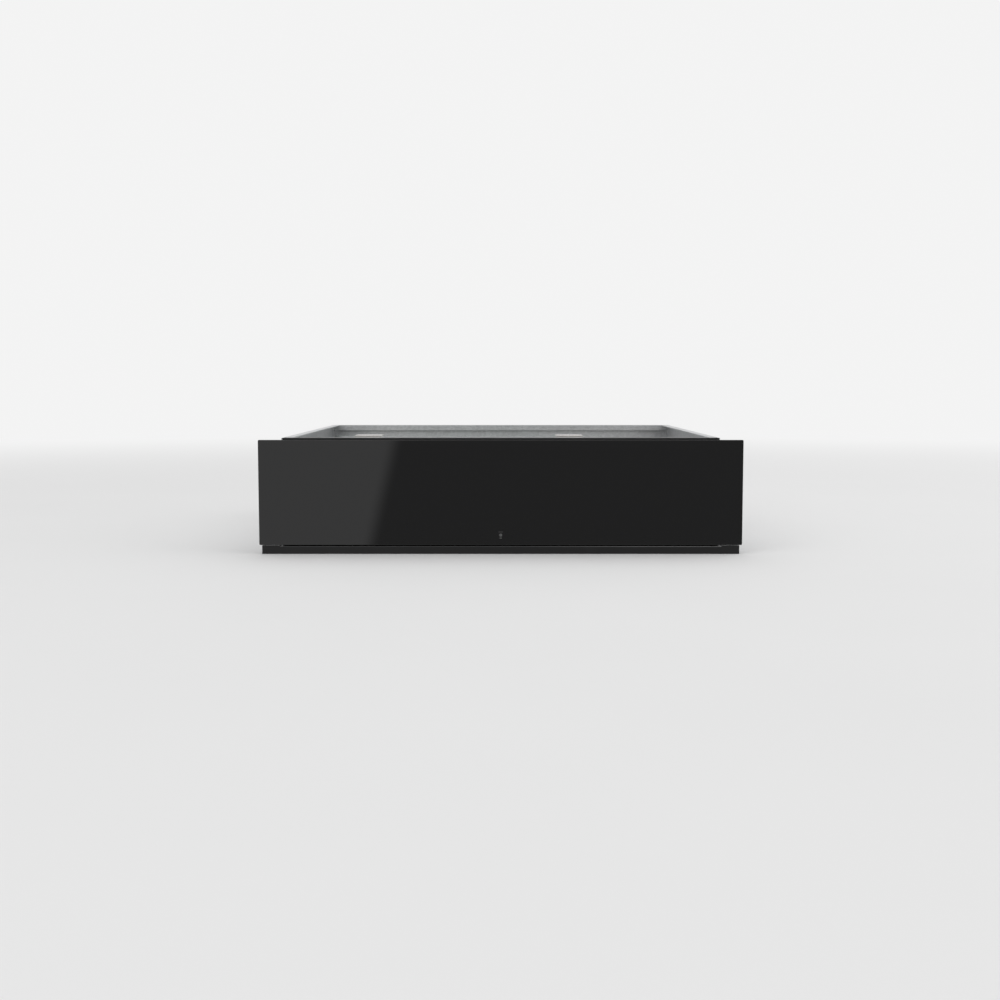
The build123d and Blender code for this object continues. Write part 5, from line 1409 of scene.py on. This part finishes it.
@dataclass
class Studio:
    """Pale floor, even surroundings and one dim card that the front glass mirrors."""

    floor_size: float = 14.0
    floor_drop: float = 0.05 * MM
    floor_tone: float = 0.80
    floor_speck: float = 0.01
    fade: Span = (0.7, 3.6)
    ambient: float = 0.62
    surroundings: float = 0.90
    overhead: float = 0.60
    steepness: Span = (0.2, 0.95)
    card_tone: float = 0.325
    card_distance: float = 3.275
    card_edge: tuple[Point, Point] = ((-0.455, 0.0, -0.351), (-0.368, 0.0, 0.0153))
    card_softness: float = 0.070
    card_left: float = -0.805
    card_right: float = 1.25
    card_margin: float = 0.4
    card_reach: float = 0.1

    def build(self) -> None:
        """Builds the whole stage."""
        self.floor()
        self.world()
        self.card()

    def floor(self) -> None:
        """Lays the floor, which mirrors don't show, and which fades into the surroundings far out."""
        Bench.clear()
        bpy.ops.mesh.primitive_plane_add(size=self.floor_size, location=(0.0, 0.0, -self.floor_drop))
        floor = Bench.settle("floor")
        graph = Graph(bpy.data.materials.new("floor_paint"))
        low, high = ((self.floor_tone + speck,) * 3 for speck in (-self.floor_speck, self.floor_speck))
        graph.set(Base_Color=graph.blend(graph.noise(3.0), low, high), Roughness=0.9)
        reach = graph.feed(graph.add("ShaderNodeVectorMath", operation="LENGTH"), Vector=graph.coordinates)
        seen = graph.add("ShaderNodeLightPath").outputs["Is Camera Ray"]
        far = graph.times(graph.step(reach["Value"], *self.fade), seen)
        graph.show(far, graph.shader.outputs[0], graph.glow(self.surroundings))
        floor.data.materials.append(graph.owner)
        floor.visible_glossy = False

    def world(self) -> None:
        """Sets even surroundings, dimmer as a light, and in mirrors dimmer overhead and below."""
        graph = Graph(bpy.data.worlds.new("surroundings"))
        bpy.context.scene.world = graph.owner
        path = graph.add("ShaderNodeLightPath").outputs
        steep = graph.step(graph.maths("ABSOLUTE", graph.axis(Axis.Z)), *self.steepness)
        mirrored = graph.between(steep, self.surroundings, self.overhead)
        strength = graph.between(path["Is Glossy Ray"], self.ambient, mirrored)
        seen = graph.maths("MAXIMUM", path["Is Camera Ray"], path["Is Transmission Ray"])
        graph.set(Color=WHITE, Strength=graph.between(seen, strength, self.surroundings))

    def card(self) -> None:
        """Stands a dim card far in front of the drawer, whose soft slanted edge its glass mirrors."""
        low, high = (Vector(point) for point in self.card_edge)
        slope = (high.x - low.x) / (high.z - low.z)
        bottom, top = low.z - self.card_margin, high.z + self.card_margin
        Bench.clear()
        bpy.ops.mesh.primitive_plane_add(size=1.0, rotation=(math.radians(90), 0.0, 0.0))
        card = bpy.context.active_object
        card.scale = (self.card_right - self.card_left, top - bottom, 1.0)
        card.location = ((self.card_right + self.card_left) / 2, -self.card_distance, (top + bottom) / 2)
        Bench.settle("dim_card")
        graph = Graph(bpy.data.materials.new("card_light"))
        across = graph.maths("SUBTRACT", graph.axis(Axis.X), low.x)
        lean = graph.times(graph.maths("SUBTRACT", graph.axis(Axis.Z), low.z), slope)
        past = graph.maths("SUBTRACT", across, lean)
        cover = graph.step(past, -self.card_softness / 2, self.card_softness / 2)
        for axis, start, end in (
            (Axis.X, self.card_right, self.card_right - self.card_margin),
            (Axis.Z, top, high.z + self.card_reach),
            (Axis.Z, bottom, low.z - self.card_reach),
        ):
            cover = graph.times(cover, graph.step(graph.axis(axis), start, end))
        clear = graph.add("ShaderNodeBsdfTransparent").outputs[0]
        graph.show(cover, clear, graph.glow(self.card_tone))
        card.data.materials.append(graph.owner)
        adjust(card, visible_camera=False, visible_diffuse=False, visible_transmission=False)
        card.visible_shadow = False


@dataclass(frozen=True)
class Lamp:
    """A soft rectangular lamp that faces the drawer."""

    name: str
    place: Point
    size: Span
    watts: float
    aim: Point = (0.0, 0.0, 0.07)

    def build(self) -> None:
        """Hangs the lamp."""
        width, height = self.size
        light = bpy.data.lights.new(self.name, "AREA")
        adjust(light, shape="RECTANGLE", size=width, size_y=height, energy=self.watts)
        lamp = bpy.data.objects.new(self.name, light)
        lamp.location = self.place
        lamp.rotation_euler = (Vector(self.aim) - Vector(self.place)).to_track_quat("-Z", "Y").to_euler()
        bpy.context.scene.collection.objects.link(lamp)


@dataclass
class PhotoCamera:
    """Camera at the photograph's place: level with the front's middle, a little above, looking down."""

    distance: float = 1.922
    height: float = 0.2102
    pitch: float = 4.97
    lens: float = 48.28
    sensor: float = 36.0
    shift: float = -0.0007

    def build(self) -> None:
        """Adds the camera and makes it the scene's own."""
        data = bpy.data.cameras.new("photo_camera")
        adjust(data, lens=self.lens, sensor_width=self.sensor, sensor_fit="HORIZONTAL", shift_x=self.shift)
        camera = bpy.data.objects.new("photo_camera", data)
        camera.location = (0.0, -self.distance, self.height)
        camera.rotation_euler = (math.radians(90 - self.pitch), 0.0, 0.0)
        bpy.context.scene.collection.objects.link(camera)
        bpy.context.scene.camera = camera


def main() -> None:
    """Builds the drawer's looks, the stage and the camera."""
    logging.basicConfig(level=logging.INFO, format="%(message)s")
    bpy.context.scene.view_settings.view_transform = "Standard"
    parts = (
        PackedParts(NODE_FINISHES),
        FrontPanel(),
        Controls(),
        GlassLid(),
        ScrewSet("housing_screws", "housing"),
        ScrewSet("drawer_screws", "drawer"),
        LatchSprings(),
        Routed("vacuum_hoses", "vacuum_hose_runs", "clear_hose", HOSES),
        Routed("wiring", "lead_runs", "cable_jacket", LEADS),
        Studio(),
        Lamp("key_lamp", place=(-2.1, -2.6, 2.6), size=(3.6, 3.0), watts=34.0),
        Lamp("top_lamp", place=(0.6, 0.9, 3.4), size=(4.6, 3.6), watts=36.0),
        Lamp("side_lamp", place=(2.8, -0.4, 1.7), size=(2.4, 2.4), watts=16.0),
        PhotoCamera(),
    )
    for part in parts:
        part.build()


if __name__ == "__main__":
    main()
